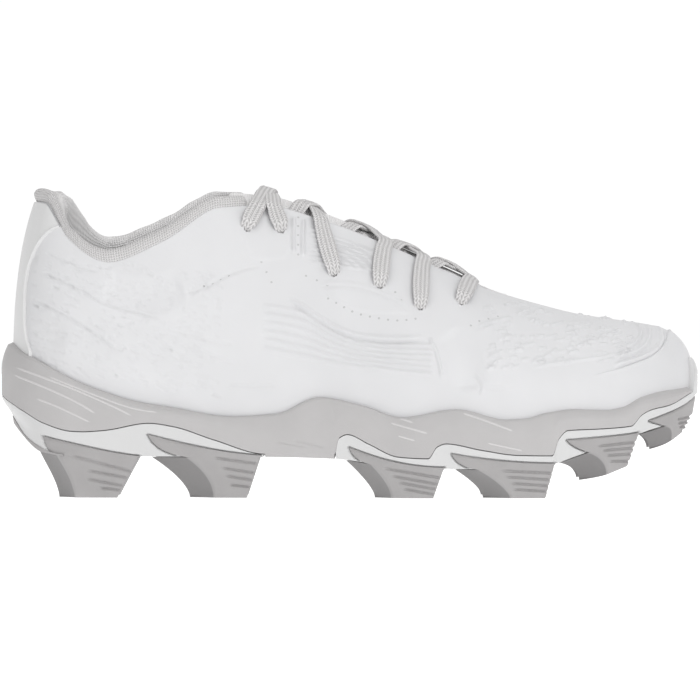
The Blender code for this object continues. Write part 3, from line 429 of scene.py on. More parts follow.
def greyRubber():
    # uv's first part marks a stud's rear and inner faces, which are painted darker: painted shade on the faces
    # turned away from the light
    look = {"light": (0.38, 0.37, 0.37), "dark": (0.31, 0.30, 0.30), "rear": (0.18, 0.175, 0.175)}
    finish = Finish("grey_rubber", 0.6)
    place = finish.place()
    shadeMask = finish.parts(finish.uv())[0]
    grain = finish.noise(place, 1100.0, 4.0)
    rubber = finish.blend(finish.noise(place, 90.0, 4.0), look["dark"], look["light"])
    finish.feed("Base Color", finish.blend(shadeMask.ease(0.2, 0.9) * 0.75, rubber, look["rear"]))
    finish.feed("Roughness", 0.5 + grain * 0.2)
    finish.bump(grain, 0.00015, 0.6)
    return finish.material


def greyKnit(name, ribEnd):
    # uv is in millimetres: along the edge and across it. Ribs lie across up to ribEnd, a knit mesh past it.
    look = {
        "light": (0.67, 0.66, 0.66), "dark": (0.34, 0.33, 0.33), "inner": (0.95, 0.94, 0.94),
        "rib": 1.05, "stitch": 1.0, "mesh": 1.9,
    }
    finish = Finish(name, 0.85)
    u, v = finish.parts(finish.uv())[:2]
    wave = 2.0 * math.pi
    rib = (u * (wave / look["rib"])).sine() * 0.5 + 0.5
    course = ((v + rib * 0.3) * (wave / look["stitch"])).sine() * 0.5 + 0.5
    mesh = ((u + v) * (wave / look["mesh"])).sine() * ((u - v) * (wave / look["mesh"])).sine() * 0.5 + 0.5
    inside = v.ease(ribEnd - 2.0, ribEnd + 2.0)
    ribbed = rib * 0.5 + course * 0.5
    height = ribbed * (1.0 - inside) + mesh * inside
    fuzz = finish.noise(finish.place(), 2600.0, 2.0)
    knit = finish.blend((height * 0.7 + fuzz * 0.15 + 0.25).ease(0.0, 1.0), look["dark"], look["light"])
    # past ribEnd the knit is blended towards near-white: painted light on the collar's inside lining; with
    # ribEnd below zero this painted light covers all of the tongue and insole
    finish.feed("Base Color", finish.blend(inside * 0.6, knit, look["inner"]))
    finish.bump(height + fuzz * 0.3, 0.00045, 0.8)
    return finish.material


def greyLace():
    # uv is in millimetres: across the lace and along it
    look = {"light": (0.72, 0.71, 0.71), "dark": (0.31, 0.30, 0.30), "rib": 1.65, "pick": 1.1}
    finish = Finish("grey_lace", 0.8)
    u, v = finish.parts(finish.uv())[:2]
    wave = 2.0 * math.pi
    rib = (u * (wave / look["rib"])).sine() * 0.5 + 0.5
    slant = ((u * (wave / look["rib"]) * 0.5).sine() * 0.55 + v * (1.0 / look["pick"])) * wave
    pick = slant.sine() * 0.5 + 0.5
    height = rib * 0.45 + pick * 0.55
    fuzz = finish.noise(finish.place(), 2600.0, 2.0)
    shade = (height * 0.75 + fuzz * 0.15 + 0.2).ease(0.0, 1.0)
    finish.feed("Base Color", finish.blend(shade, look["dark"], look["light"]))
    finish.bump(height + fuzz * 0.25, 0.0005, 0.8)
    return finish.material


def holeShade():
    finish = Finish("hole_shade", 0.9)
    grain = finish.noise(finish.place(), 900.0)
    finish.feed("Base Color", finish.blend(grain, (0.34, 0.34, 0.34), (0.46, 0.46, 0.46)))
    return finish.material


def paleFloor():
    finish = Finish("pale_floor", 0.9)
    cloud = finish.noise(finish.place(), 3.0)
    finish.feed("Base Color", finish.blend(cloud, (0.40, 0.40, 0.40), (0.42, 0.42, 0.42)))
    finish.feed("Emission Color", (1.0, 1.0, 1.0, 1.0))
    finish.feed("Emission Strength", 0.88)  # a lit white table, so the shoe throws hardly any shadow
    return finish.material


finishes = {
    "white_synthetic": whiteSynthetic(),
    "white_moulded": whiteMoulded("white_moulded", 0.67, 0.635),
    # the plates get a darker copy of white_moulded: painted shade on the sole's white band
    "white_moulded_painted_shade": whiteMoulded("white_moulded_painted_shade", 0.60, 0.57),
    "grey_foam": greyFoam(),
    "grey_rubber": greyRubber(),
    "grey_collar": greyKnit("grey_collar", 9.0),
    "grey_knit": greyKnit("grey_knit", -5.0),
    "grey_lace": greyLace(),
    "hole_shade": holeShade(),
}
print("finishes:", len(finishes))


# Meshes
def stripFaces(rows, columns, loop=False, keep=None):
    # quads between neighbouring rows of a grid of points; keep is a mask of rows by columns
    wide = columns if loop else columns - 1
    i, j = np.meshgrid(np.arange(rows - 1), np.arange(wide), indexing="ij")
    if keep is not None:
        i, j = i[keep], j[keep]
    i, j = i.ravel(), j.ravel()
    k = (j + 1) % columns
    here, after = i * columns, (i + 1) * columns
    return np.stack([here + j, after + j, after + k, here + k], 1).tolist()


def meshFrom(name, points, faces, uv=None, outside=True):
    mesh = bpy.data.meshes.new(name)
    mesh.from_pydata((points.reshape(-1, 3) * mm).tolist(), [], faces)
    if uv is not None:
        layer = mesh.uv_layers.new(name="uv")
        corner = np.empty(len(mesh.loops), np.int32)
        mesh.loops.foreach_get("vertex_index", corner)
        layer.data.foreach_set("uv", uv.reshape(-1, 2)[corner].ravel())
    shape = bmesh.new()
    shape.from_mesh(mesh)
    bmesh.ops.remove_doubles(shape, verts=shape.verts, dist=2e-6)
    bmesh.ops.dissolve_degenerate(shape, edges=shape.edges, dist=1e-7)
    if outside:
        bmesh.ops.recalc_face_normals(shape, faces=shape.faces)
    shape.to_mesh(mesh)
    shape.free()
    mesh.shade_smooth()
    return mesh


def loft(name, rings, capped, uv=None, sharp=None):
    count, width = rings.shape[:2]
    faces = stripFaces(count, width, loop=True)
    if capped:
        faces += [list(range(width)), list(range((count - 1) * width, count * width))]
    mesh = meshFrom(name, rings, faces, uv)
    if sharp:
        mesh.set_sharp_from_angle(angle=math.radians(sharp))
    return mesh


def dress(name, mesh, finish, slot, *nodes):
    made = bpy.data.objects.new(name, mesh)
    scene.collection.objects.link(made)
    mesh.materials.clear()
    mesh.materials.append(finishes[finish])
    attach(made, "root")
    if nodes:
        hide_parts(*nodes)
    return made


# Relief of the upper, as seen from the side: x and z in millimetres
emboss = {
    "ridges": [  # width, height, points
        (1.0, 0.55, [(-22.6, 112.0), (-22.8, 104.0), (-22.6, 96.8)]),
        (1.0, 0.55, [(-18.8, 111.0), (-19.0, 103.0), (-18.8, 95.6)]),
        (0.8, 0.14, [(-13.8, 84.8), (-3.0, 85.4), (7.8, 83.4), (18.2, 79.0), (24.6, 73.0)]),
        (1.2, 0.40, [
            (-25.4, 80.0), (-20.2, 76.8), (-13.4, 72.4), (-5.4, 67.6), (3.8, 64.4), (17.8, 63.2),
            (30.6, 63.8),
        ]),
        (1.0, 0.35, [(31.0, 64.0), (33.8, 58.4), (35.4, 52.8), (36.4, 47.2)]),
        (1.4, 0.60, [
            (122.4, 68.4), (124.2, 65.0), (124.0, 61.6), (121.2, 58.2), (116.6, 55.8), (111.4, 54.0),
            (104.0, 52.2),
        ]),
        (1.2, 0.45, [
            (118.4, 69.0), (119.4, 65.6), (118.6, 62.2), (116.2, 59.4), (111.6, 57.0), (105.0, 55.4),
        ]),
        (1.1, 0.40, [(115.0, 69.4), (116.0, 65.8), (115.2, 63.2), (112.6, 60.8), (108.6, 58.8)]),
        (0.9, 0.25, [(72.6, 52.0), (85.8, 54.0), (103.8, 56.2)]),
        (0.8, 0.30, [(50.6, 68.4), (57.8, 70.2), (64.6, 71.8)]),
    ],
    "grooves": [
        (0.9, 0.30, [(-127.4, 79.6), (-118.2, 74.8), (-109.4, 70.0), (-100.2, 64.0), (-92.2, 57.6)]),
        (0.9, 0.28, [(-125.4, 90.4), (-112.2, 84.8), (-100.2, 78.4), (-92.2, 75.6), (-74.2, 70.8)]),
        (0.8, 0.20, [(-122.2, 97.6), (-107.4, 91.6), (-99.4, 89.6)]),
        (0.8, 0.16, [(-71.4, 66.8), (-54.2, 61.6), (-46.2, 60.4)]),
        (0.8, 0.14, [(-66.2, 60.4), (-56.0, 57.0), (-46.2, 52.4)]),
        (0.7, 0.28, [
            (-26.6, 79.0), (-21.4, 75.6), (-14.6, 71.2), (-6.6, 66.2), (2.8, 62.8), (17.0, 61.6),
            (30.0, 62.2),
        ]),
        (0.8, 0.22, [(-35.4, 92.0), (-42.2, 90.8), (-50.2, 87.6), (-57.4, 83.6), (-66.0, 80.6)]),
        (0.7, 0.18, [(-50.2, 44.6), (-40.0, 44.2), (-29.4, 44.4)]),
        (0.8, 0.22, [(48.6, 49.6), (51.4, 44.8), (50.6, 40.8)]),
    ],
    "soft": [  # wide troughs and swells that the last leaves in the upper
        (9.0, -0.55, [(-98.0, 84.0), (-84.0, 80.0), (-66.0, 84.0)]),
        (10.0, 0.50, [(-118.0, 64.0), (-92.0, 52.0), (-60.0, 46.0)]),
        (8.0, -0.45, [(38.0, 66.0), (45.0, 56.0), (47.0, 42.0)]),
        (9.0, 0.45, [(54.0, 70.0), (58.0, 56.0), (57.0, 42.0)]),
    ],
    "pads": [  # edge, height, outline
        (1.6, 0.18, [
            (-13.0, 83.8), (-3.0, 84.4), (7.6, 82.4), (17.8, 78.0), (23.4, 73.2), (19.8, 72.6), (6.6, 73.2),
            (-4.6, 77.2),
        ]),
        (1.4, 0.14, [
            (-45.0, 112.0), (-34.0, 113.0), (-25.0, 112.0), (-24.6, 97.0), (-31.0, 94.0), (-41.0, 96.0),
        ]),
    ],
    "ribbing": [  # count, height, from x to x, upper edge, lower edge
        (6, 0.34, -36.0, 33.5,
         [(-36.0, 78.0), (-20.2, 75.2), (-5.4, 66.2), (3.8, 62.8), (17.8, 61.6), (34.0, 61.6)],
         [(-36.0, 58.0), (-17.4, 54.0), (-0.2, 51.6), (14.6, 50.0), (35.8, 47.6)]),
        (8, 0.42, -18.0, 13.0,
         [(-18.2, 108.4), (-4.2, 103.4), (13.0, 97.6)],
         [(-18.2, 93.2), (-4.2, 91.2), (13.0, 89.4)]),
    ],
    # short marks at random places; a zone is an x, then its low and high edge there, each with a slope
    "dashes": {
        "count": 150, "seed": 11, "fromX": 54.0, "toX": 112.0, "zone": (60.0, 50.0, 0.10, 79.0, -0.16),
        "long": 4.0, "slope": 0.22, "width": 0.6, "height": 0.22,
    },
    "flecks": {
        "count": 420, "seed": 5, "fromX": -127.0, "toX": -52.0, "zone": (-120.0, 50.0, -0.15, 96.0, -0.1),
        "long": 3.0, "slope": -0.5, "width": 0.55, "height": -0.12,
    },
    "strength": 2.2,
}


def nearLine(line, x, z):
    # distance of each place from a bent line, and the nearest point's share along it
    start, step = line[:-1], np.diff(line, axis=0)
    length = np.linalg.norm(step, axis=1)
    offX, offZ = x[:, None] - start[:, 0], z[:, None] - start[:, 1]
    t = np.clip((offX * step[:, 0] + offZ * step[:, 1]) / length**2, 0.0, 1.0)
    square = (offX - t * step[:, 0]) ** 2 + (offZ - t * step[:, 1]) ** 2
    nearest = square.argmin(1)
    each = np.arange(len(x))
    travelled = np.concatenate([[0.0], np.cumsum(length)])
    share = (travelled[nearest] + t[each, nearest] * length[nearest]) / travelled[-1]
    return np.sqrt(square[each, nearest]), share


def addLine(height, x, z, width, rise, points, samples=24):
    line = bend(points, samples) if len(points) > 2 else np.asarray(points, float)
    low, high = line.min(0) - width, line.max(0) + width
    found = np.flatnonzero((x > low[0]) & (x < high[0]) & (z > low[1]) & (z < high[1]))
    if len(found):
        distance, share = nearLine(line, x[found], z[found])
        profile = np.maximum(1.0 - (distance / width) ** 2, 0.0) ** 2
        height[found] += rise * profile * ease(share, 0.0, 0.12) * ease(1.0 - share, 0.0, 0.12)


def insideLine(line, x, z):
    inside = np.zeros(len(x), bool)
    for a, b in zip(line, np.roll(line, -1, axis=0)):
        spans = (a[1] > z) != (b[1] > z)
        cross = (b[0] - a[0]) * (z - a[1]) / (b[1] - a[1] if b[1] != a[1] else 1e-9) + a[0]
        inside ^= spans & (x < cross)
    return inside


def addPad(height, x, z, edge, rise, outline):
    line = bend([*outline, outline[0]], 60)
    found = np.flatnonzero(insideLine(line, x, z))
    height[found] += rise * ease(nearLine(line, x[found], z[found])[0], 0.0, edge)


def addRibbing(height, x, z, count, rise, fromX, toX, upper, lower):
    high, low = heightCurve(upper)(x), heightCurve(lower)(x)
    phase = (z - low) / (high - low)
    mask = ease(x, fromX, fromX + 5.0) * ease(toX - x, 0.0, 2.5)
    mask = mask * ease(phase, 0.0, 0.06) * ease(1.0 - phase, 0.0, 0.06)
    height += rise * mask * (0.5 - 0.5 * np.cos(2.0 * math.pi * count * np.clip(phase, 0.0, 1.0)))


def dashLines(spec):
    draw = np.random.default_rng(spec["seed"])
    origin, low, lowSlope, high, highSlope = spec["zone"]
    for _ in range(spec["count"]):
        x = draw.uniform(spec["fromX"], spec["toX"])
        z = draw.uniform(low + lowSlope * (x - origin), high + highSlope * (x - origin))
        half = 0.5 * spec["long"] * draw.uniform(0.5, 1.2)
        tilt = spec["slope"] + draw.uniform(-0.12, 0.12)
        yield [(x - half, z - half * tilt), (x, z + draw.uniform(-0.4, 0.4)), (x + half, z + half * tilt)]


def relief(x, z):
    height = np.zeros(len(x))
    for kind, sign in (("ridges", 1.0), ("grooves", -1.0), ("soft", 1.0)):
        for width, rise, points in emboss[kind]:
            addLine(height, x, z, width, sign * rise, points)
    for row in emboss["pads"]:
        addPad(height, x, z, *row)
    for row in emboss["ribbing"]:
        addRibbing(height, x, z, *row)
    for spec in (emboss["dashes"], emboss["flecks"]):
        for points in dashLines(spec):
            addLine(height, x, z, spec["width"], spec["height"], points, 6)
    return height * emboss["strength"]


# Upper: two halves that meet down the heel, along the vamp and at the toe
upperPiece = {
    "wall": 2.0, "columns": (620, 440), "rows": (138, 104),
    "insideRows": 14, "hole": 1.5, "holeDeep": 4.0,
}
eyeletPlaces = [(-41.0, 106.8), (-27.8, 106.0), (-6.6, 89.0), (11.8, 84.2), (27.8, 75.6), (44.2, 77.4)]


def eyelets(side):
    x, z = np.array(eyeletPlaces).T
    u, w = placeOnSide(side, x, z)
    return u, w, skin(side, u, w), skinNormal(side, u, w)


def evenRows(side, count, fromU=0.0, toU=toeRow, share=0.5):
    u = np.linspace(fromU, toU, 900)
    line = skin(side, u, share)
    reach = lengthAlong(line)
    return np.interp(np.linspace(0.0, reach[-1], count), reach, u)


def upperHalf(side):
    u = np.unique(np.append(evenRows(side, upperPiece["columns"][side]), throatEnd))
    outW = np.linspace(0.0, 1.0, upperPiece["rows"][side])
    inW = np.linspace(1.0, 0.0, upperPiece["insideRows"])
    outer = skin(side, u[:, None], outW)
    normal = skinNormal(side, u[:, None], outW)
    rise = relief(outer[..., 0].ravel(), outer[..., 2].ravel()).reshape(outer.shape[:2])
    rise *= ease(outW, 0.0, 0.03) * np.where(u[:, None] < throatEnd, ease(1.0 - outW, 0.0, 0.02), 1.0)
    outer = outer + normal * rise[..., None]
    inner = skin(side, u[:, None], inW) - skinNormal(side, u[:, None], inW) * upperPiece["wall"]
    up = unitVectors(outer[:, -1] - outer[:, -3])
    rim = (outer[:, -1:] + inner[:, :1]) / 2.0 + up[:, None] * 0.5
    grid = np.concatenate([outer, rim, inner], 1)
    keep = np.ones((len(u) - 1, grid.shape[1]), bool)
    top = len(outW) - 1
    keep[u[:-1] >= throatEnd, top: top + 2] = False  # past the throat the halves meet, with no edge
    centre = 0.25 * (grid[:-1] + grid[1:] + np.roll(grid, -1, 1)[:-1] + np.roll(grid, -1, 1)[1:])
    for place, axis in zip(*eyelets(side)[2:]):
        off = centre - place
        deep = (off * axis).sum(-1, keepdims=True)
        within = np.linalg.norm(off - deep * axis, axis=-1) < upperPiece["hole"]
        keep &= ~(within & (np.abs(deep[..., 0]) < upperPiece["holeDeep"]))
    faces = stripFaces(len(u), grid.shape[1], loop=True, keep=keep)
    if side == medial:
        faces = [face[::-1] for face in faces]
    return meshFrom("upper_" + sideName[side], grid, faces, outside=False)


for side in (lateral, medial):
    dress("upper_" + sideName[side], upperHalf(side), "white_synthetic", "white_synthetic", "upper")
print("upper: both halves")


# Overlays that stand on the upper: the heel counter and the toe cap, each with a raised edge
underCup = 1.5  # how far the overlays run down behind the cup's top edge
counterPiece = {
    "lift": 0.8, "edge": 0.6, "edgeWidth": 1.4, "across": 90, "levels": 110, "base": 57.5,
    "crown": 107.6, "top": 0.992,
}
counterEdge = [  # z and x of its front edge, seen from the side
    (52.0, -124.6), (58.0, -126.8), (63.2, -128.4), (72.0, -129.2), (81.6, -129.0), (90.4, -127.8),
    (96.8, -125.6), (101.6, -122.8), (106.0, -118.4), (107.6, -114.0),
]
capPiece = {
    "lift": 0.7, "edge": 0.25, "edgeWidth": 2.2, "columns": 170, "levels": 52, "fade": (84.0, 112.0),
    "tip": 0.8, "tipX": (124.0, 134.0), "tipIn": (2.0, 14.0), "top": 66.4,
}
capEdge = [  # x and z of its upper edge, seen from the side
    (76.0, 43.0), (88.0, 47.4), (97.8, 49.7), (107.1, 51.7), (113.1, 53.7), (118.5, 55.7), (122.5, 58.4),
    (125.6, 62.4), (126.4, 65.4),
]


def fromEdge(surface):
    # how far each point of a grid lies from its row's end, along the row
    step = np.linalg.norm(np.diff(surface, axis=1), axis=-1)
    return np.concatenate([np.cumsum(step[:, ::-1], axis=1)[:, ::-1], np.zeros((len(surface), 1))], 1)


def overlayLift(piece, distance):
    # buried at the very edge, then a rounded raised rim, then the panel's own height
    rim = np.exp(-(((distance - piece["edgeWidth"] * 0.5) / (piece["edgeWidth"] * 0.32)) ** 2))
    return -0.5 + (piece["lift"] + 0.5) * ease(distance, 0.0, 0.7) + piece["edge"] * rim


def heelCounter():
    front = heightCurve(counterEdge)
    share = np.linspace(0.0, 1.0, counterPiece["levels"])
    place = np.linspace(0.0, 1.0, counterPiece["across"])
    z = np.linspace(counterPiece["base"], counterPiece["crown"], counterPiece["levels"])
    top = counterPiece["top"]

    def underRim(u):
        x = skinAtHeight(side, u, np.full(len(u), counterPiece["base"]))[:, 0]
        return shareAtHeight(side, u, rimHeight(x) - underCup)

    halves = []
    for side in (lateral, medial):
        uEdge, wEdge = placeOnSide(side, front(z), z)
        lowEdge = underRim(uEdge)
        uFront = np.interp(share, (wEdge - lowEdge) / (top - lowEdge), uEdge)
        u = uFront[:, None] * place
        low = underRim(u.ravel()).reshape(u.shape)
        w = low + share[:, None] * (top - low)
        points = lifted(side, u, w, overlayLift(counterPiece, fromEdge(skin(side, u, w))))
        halves.append(points if side == lateral else points[:, ::-1])
    # lateral edge to heel to medial edge
    grid = np.concatenate([halves[0][:, ::-1], halves[1][:, ::-1][:, 1:]], 1)
    return meshFrom("heel_counter", grid, stripFaces(*grid.shape[:2]), outside=False)


def capTop(side, u):
    edgeU, edgeW = placeOnSide(side, *bend(capEdge, 60).T)
    before = edgeU < toeRow - 0.1
    tip = shareAtHeight(side, np.array([toeRow]), np.array([capPiece["top"]]))
    return np.interp(u, np.append(edgeU[before], toeRow), np.append(edgeW[before], tip))


def toeCap():
    first = float(rowAtFootX(capEdge[0][0]))
    halves = []
    for side in (lateral, medial):
        u = evenRows(side, capPiece["columns"], first, toeRow, 0.4)
        x = footX(u)
        low = shareAtHeight(side, u, rimHeight(x) - underCup)
        high = capTop(side, u)
        share = np.linspace(0.0, 1.0, capPiece["levels"]) ** 0.8
        w = low[:, None] + share * (high - low)[:, None]
        distance = fromEdge(skin(side, u[:, None], w))
        lift = (overlayLift(capPiece, distance) + 0.5) * ease(x, *capPiece["fade"])[:, None] - 0.5
        front = ease(x, *capPiece["tipX"])[:, None] * ease(distance, *capPiece["tipIn"])
        lift = lift + capPiece["tip"] * front
        halves.append(lifted(side, np.broadcast_to(u[:, None], w.shape), w, lift))
    grid = np.concatenate([halves[0], halves[1][::-1][1:]], 0)
    return meshFrom("toe_cap", grid, stripFaces(*grid.shape[:2]), outside=False)


def facingOut(mesh, centre):
    # an open shell turned so that most of it faces away from its middle
    middle = np.array(centre) * mm
    count = len(mesh.polygons)
    normal, place = np.empty(count * 3), np.empty(count * 3)
    mesh.polygons.foreach_get("normal", normal)
    mesh.polygons.foreach_get("center", place)
    if ((place.reshape(-1, 3) - middle) * normal.reshape(-1, 3)).sum() < 0.0:
        mesh.flip_normals()
    return mesh


counter = facingOut(heelCounter(), (-100.0, 0.0, 80.0))
dress("counter_skin", counter, "white_moulded", "white_moulded", "heel_counter")
cap = facingOut(toeCap(), (90.0, 5.0, 45.0))
dress("toe_cap_skin", cap, "white_synthetic", "white_synthetic", "toe_cap")
print("overlays: heel counter and toe cap")


# Collar: a padded roll, ribbed outside and knitted inside
collarPiece = {"columns": 210, "toU": 5.64, "around": 44, "fill": 0.75, "pucker": 0.12, "heelOut": 1.0}
collarSection = [  # out from the upper's face and up past its edge, from the outer foot over the top
    (-0.5, -0.6), (0.5, 0.9), (0.9, 2.6), (0.2, 4.6), (-2.0, 5.6), (-4.8, 4.4), (-6.4, 0.5), (-6.6, -10.0),
    (-5.0, -20.0), (-3.0, -22.0), (-2.7, -10.0), (-2.7, 0.2), (-1.4, 0.4), (-0.5, -0.6),
]
# along the edge: how much higher the medial roll is, and the roll's depth
collarRear = [(0.0, 0.0), (1.0, 0.0), (1.5, 4.7), (2.0, 8.4), (2.3, 5.6), (2.5, 2.7), (3.0, 0.0), (6.0, 0.0)]
collarPad = [(0.0, 2.0), (1.0, 1.9), (2.2, 1.2), (3.0, 1.0), (4.4, 1.0), (5.2, 0.0), (6.0, 0.0)]


def collarHalf(side, u):
    points, lengths = ribs(side, u)
    pad = heightCurve(collarPad)(u)
    higher = side * heightCurve(collarRear)(u)
    heel = collarPiece["heelOut"] * (1.0 - ease(u, 0.0, 1.2))
    up = unitVectors(points[:, -1] - points[:, -3])
    edgeNormal = skinNormal(side, u, np.full(len(u), 0.999))
    rings = []
    for out, rise in collarSection:
        away = mix(-2.7, out, pad) if out < -2.7 else out + heel * ease(rise, -0.5, 2.0)
        above = rise + higher * ease(rise, 0.5, 4.0) if rise >= -1.0 else mix(0.4, rise, np.minimum(pad, 1.0))
        over = points[:, -1] + up * above[:, None] + edgeNormal * away[:, None]
        inside = lifted(side, u, np.minimum(1.0 + above / lengths[:, -1], 1.0), away)
        rings.append(np.where((above >= -1.0)[:, None], over, inside))
    return np.stack(rings, 1)


def collarLining():
    u = evenRows(lateral, collarPiece["columns"], 0.0, collarPiece["toU"], 1.0)
    control = np.concatenate([collarHalf(lateral, u[::-1]), collarHalf(medial, u)[1:]], 0)
    rings = np.stack([bend(ring, collarPiece["around"]) for ring in control])
    travelled = lengthAlong(rings[:, 0])
    around = lengthAlong(rings[len(rings) // 3])
    middle = rings.mean(1, keepdims=True)
    pucker = 1.0 + collarPiece["pucker"] * 0.2 * np.sin(travelled * 0.55)[:, None] * np.sin(around * 0.5)
    ends = np.minimum(travelled, travelled[-1] - travelled)
    closing = np.sqrt(np.clip(1.0 - (1.0 - np.minimum(ends / 2.5, 1.0)) ** 2, 0.01, 1.0))
    rings = middle + (rings - middle) * (pucker * closing[:, None])[..., None]
    uv = np.stack(np.broadcast_arrays(travelled[:, None], around), -1)
    faces = stripFaces(*rings.shape[:2])
    width = rings.shape[1]
    faces += [list(range(width - 1)), list(range((len(rings) - 1) * width, len(rings) * width - 1))]
    return meshFrom("collar_lining", rings, faces, uv)


collar = dress("collar_roll", collarLining(), "grey_collar", "grey_knit", "collar_lining")
print("collar: padded")


# Tongue: padded, under both eyestays and out past the top of the throat
tonguePiece = {
    "thickness": 3.2, "clear": 0.8, "underlap": (15.0, 7.5, 0.0), "fromU": 5.8, "toU": 10.6, "past": 10.0,
    "path": (-0.99, 0.0, 0.10), "narrowing": 0.008, "rows": 120, "across": 49, "fill": 0.6,
}
# along the throat: how high the tongue stands in its middle, and the lace
tongueCrown = [(5.8, 5.4), (6.0, 5.2), (6.4, 4.8), (7.0, 4.4), (8.6, 3.8), (9.6, 3.8), (10.0, 3.2), (10.6, 0.6)]
laceCrown = [(5.8, 5.4), (6.0, 5.0), (6.4, 3.8), (7.0, 2.2), (8.6, 0.8), (9.6, 0.1), (10.6, 0.0)]


def tongueRow(u, past):
    clear = -(upperPiece["wall"] + tonguePiece["clear"])
    laps = np.array(tonguePiece["underlap"])
    halves = []
    for side in (lateral, medial):
        length = ribs(side, np.array([u]))[1][0, -1]
        halves.append(lifted(side, np.full(3, u), 1.0 - laps / length, np.full(3, clear)))
    left, right = halves[0][-1], halves[1][-1]
    middle = (left + right) / 2.0
    rise = np.array([0.0, 0.0, float(heightCurve(tongueCrown)(u))])
    shoulders = [(edge + middle) / 2.0 + rise * 0.75 for edge in (left, right)]
    points = np.array([*halves[0], shoulders[0], middle + rise, shoulders[1], *halves[1][::-1]])
    points[:, 1] = middle[1] + (points[:, 1] - middle[1]) * (1.0 - tonguePiece["narrowing"] * past)
    return points + np.array(tonguePiece["path"]) * past


def tongue():
    count = tonguePiece["rows"]
    u = np.linspace(tonguePiece["toU"], tonguePiece["fromU"], count)
    rows = [tongueRow(place, 0.0) for place in u]
    rows += [tongueRow(tonguePiece["fromU"], past) for past in np.linspace(0.8, tonguePiece["past"], 14)]
    top = np.stack([bend(row, tonguePiece["across"]) for row in rows])
    along, across = np.gradient(top, axis=0), np.gradient(top, axis=1)
    normal = unitVectors(np.cross(along, across))
    normal *= np.sign(normal[..., 2:3].mean())
    place = np.linspace(-1.0, 1.0, tonguePiece["across"])
    end = np.minimum(np.arange(len(top)), np.arange(len(top))[::-1]) / 5.0
    closing = np.sqrt(np.clip(1.0 - (1.0 - np.minimum(end, 1.0)) ** 2, 0.02, 1.0))
    depth = tonguePiece["thickness"] * ((1.0 - 0.75 * place**6) * closing[:, None])
    crown = top - normal * (0.5 * (tonguePiece["thickness"] - depth))[..., None] * 0.6
    under = crown - normal * depth[..., None]
    rings = np.concatenate([crown, under[:, ::-1]], 1)
    step = lengthAlong(top[:, len(place) // 2])
    wide = np.linspace(0.0, 44.0, tonguePiece["across"])
    uv = np.stack(np.broadcast_arrays(step[:, None], np.concatenate([wide, wide[::-1]])), -1)
    return loft("tongue", rings, True, uv)


padTongue = dress("tongue_pad", tongue(), "grey_knit", "grey_knit", "tongue")


# Insole: a dished footbed that closes the upper underneath
insolePiece = {"thickness": 3.5, "inset": 2.6, "columns": 150, "across": 25, "cup": 1.6}


def insole():
    x = np.linspace(soleRear + 0.6, soleFront - 0.8, insolePiece["columns"])
    u = rowAtFootX(x)
    edges = [footPoint(side, u) - outward(side, u) * insolePiece["inset"] for side in (lateral, medial)]
    place = np.linspace(0.0, 1.0, insolePiece["across"])[:, None]
    level = edges[0][:, None] * (1.0 - place) + edges[1][:, None] * place
    level[..., 2] = np.maximum(edges[0][:, None, 2], edges[1][:, None, 2]) - 0.1
    dish = insolePiece["cup"] * (1.0 - np.sin(math.pi * place[:, 0]) ** 0.6)
    height = insolePiece["thickness"] - insolePiece["cup"] + dish
    top = level + np.array([0.0, 0.0, 1.0]) * height[None, :, None]
    low = level + np.array([0.0, 0.0, 0.1])
    rings = np.concatenate([top, low[:, ::-1]], 1)
    wide = np.linspace(0.0, 60.0, insolePiece["across"])
    uv = np.stack(np.broadcast_arrays(x[:, None] + 140.0, np.concatenate([wide, wide[::-1]])), -1)
    return loft("insole", rings, True, uv)


dress("insole_bed", insole(), "grey_knit", "grey_knit", "insole")
print("tongue and insole: done")


# Sole: the foam cup, the two plates and the studs
solePiece = {
    "taper": 0.16, "plateLip": 2.4, "plateThickness": 3.0, "lip": 1.4, "archRear": -34.0, "archFront": -5.4,
    "bumperStart": 133.4, "bumperFull": 134.8, "bumperTop": 55.5, "bumperThickness": 1.6, "bumperTouch": 0.5,
    "bumperLean": (2.2, 49.0, 6.5),  # how far its top leans back, from which height and over how much
    "heelRound": 3.2, "heelRoundX": (-133.6, -119.0), "heelRoundDeep": (0.5, 9.0),
    "cupColumns": 380, "cupLevels": 76, "plateStep": 0.5, "plateLevels": 30,
    "rearEnd": (0.1, 0.3, 0.6, 1.1),  # extra columns where the outline turns, counted from its end
    "frontEnd": (0.01, 0.03, 0.06, 0.1, 0.15, 0.2, 0.3, 0.4, 0.5, 0.7, 0.85, 1.0, 1.4),
}
cupLines = [  # width, height and points on the cup's side: ridges at the heel, grooves further on
    (0.55, 0.34, [(-135.4, 52.4), (-112.2, 44.0), (-95.4, 36.8), (-85.0, 31.6)]),
    (0.55, 0.34, [(-135.4, 49.2), (-120.2, 43.2), (-108.2, 37.6), (-100.2, 32.8)]),
    (0.5, 0.30, [(-125.8, 39.6), (-116.2, 36.0), (-102.6, 29.6)]),
    (0.5, 0.32, [(-121.8, 48.8), (-90.6, 36.8), (-74.6, 33.6)]),
    (0.5, -0.30, [(-126.6, 54.0), (-108.2, 45.2), (-95.4, 40.6), (-79.4, 36.4), (-60.0, 33.2)]),
    (0.55, -0.30, [(-30.2, 22.4), (-16.6, 20.0)]),
    (0.55, -0.30, [(-23.0, 23.0), (-9.8, 20.0)]),
    (0.55, 0.32, [(15.4, 30.0), (31.0, 25.6)]),
    (0.55, 0.34, [(1.4, 38.0), (12.0, 34.4), (25.8, 29.6)]),
    (0.5, 0.30, [(18.6, 24.8), (25.8, 22.8)]),
    (0.55, 0.34, [(43.8, 34.0), (54.0, 30.6), (65.0, 26.4)]),
    (0.5, 0.30, [(53.8, 22.0), (68.6, 18.8)]),
]
studColumns = (
    "name rearX rearZ frontX frontZ tipX tipZ cornerX cornerZ innerX innerZ innerTopX depth hollow flare hook"
).split()
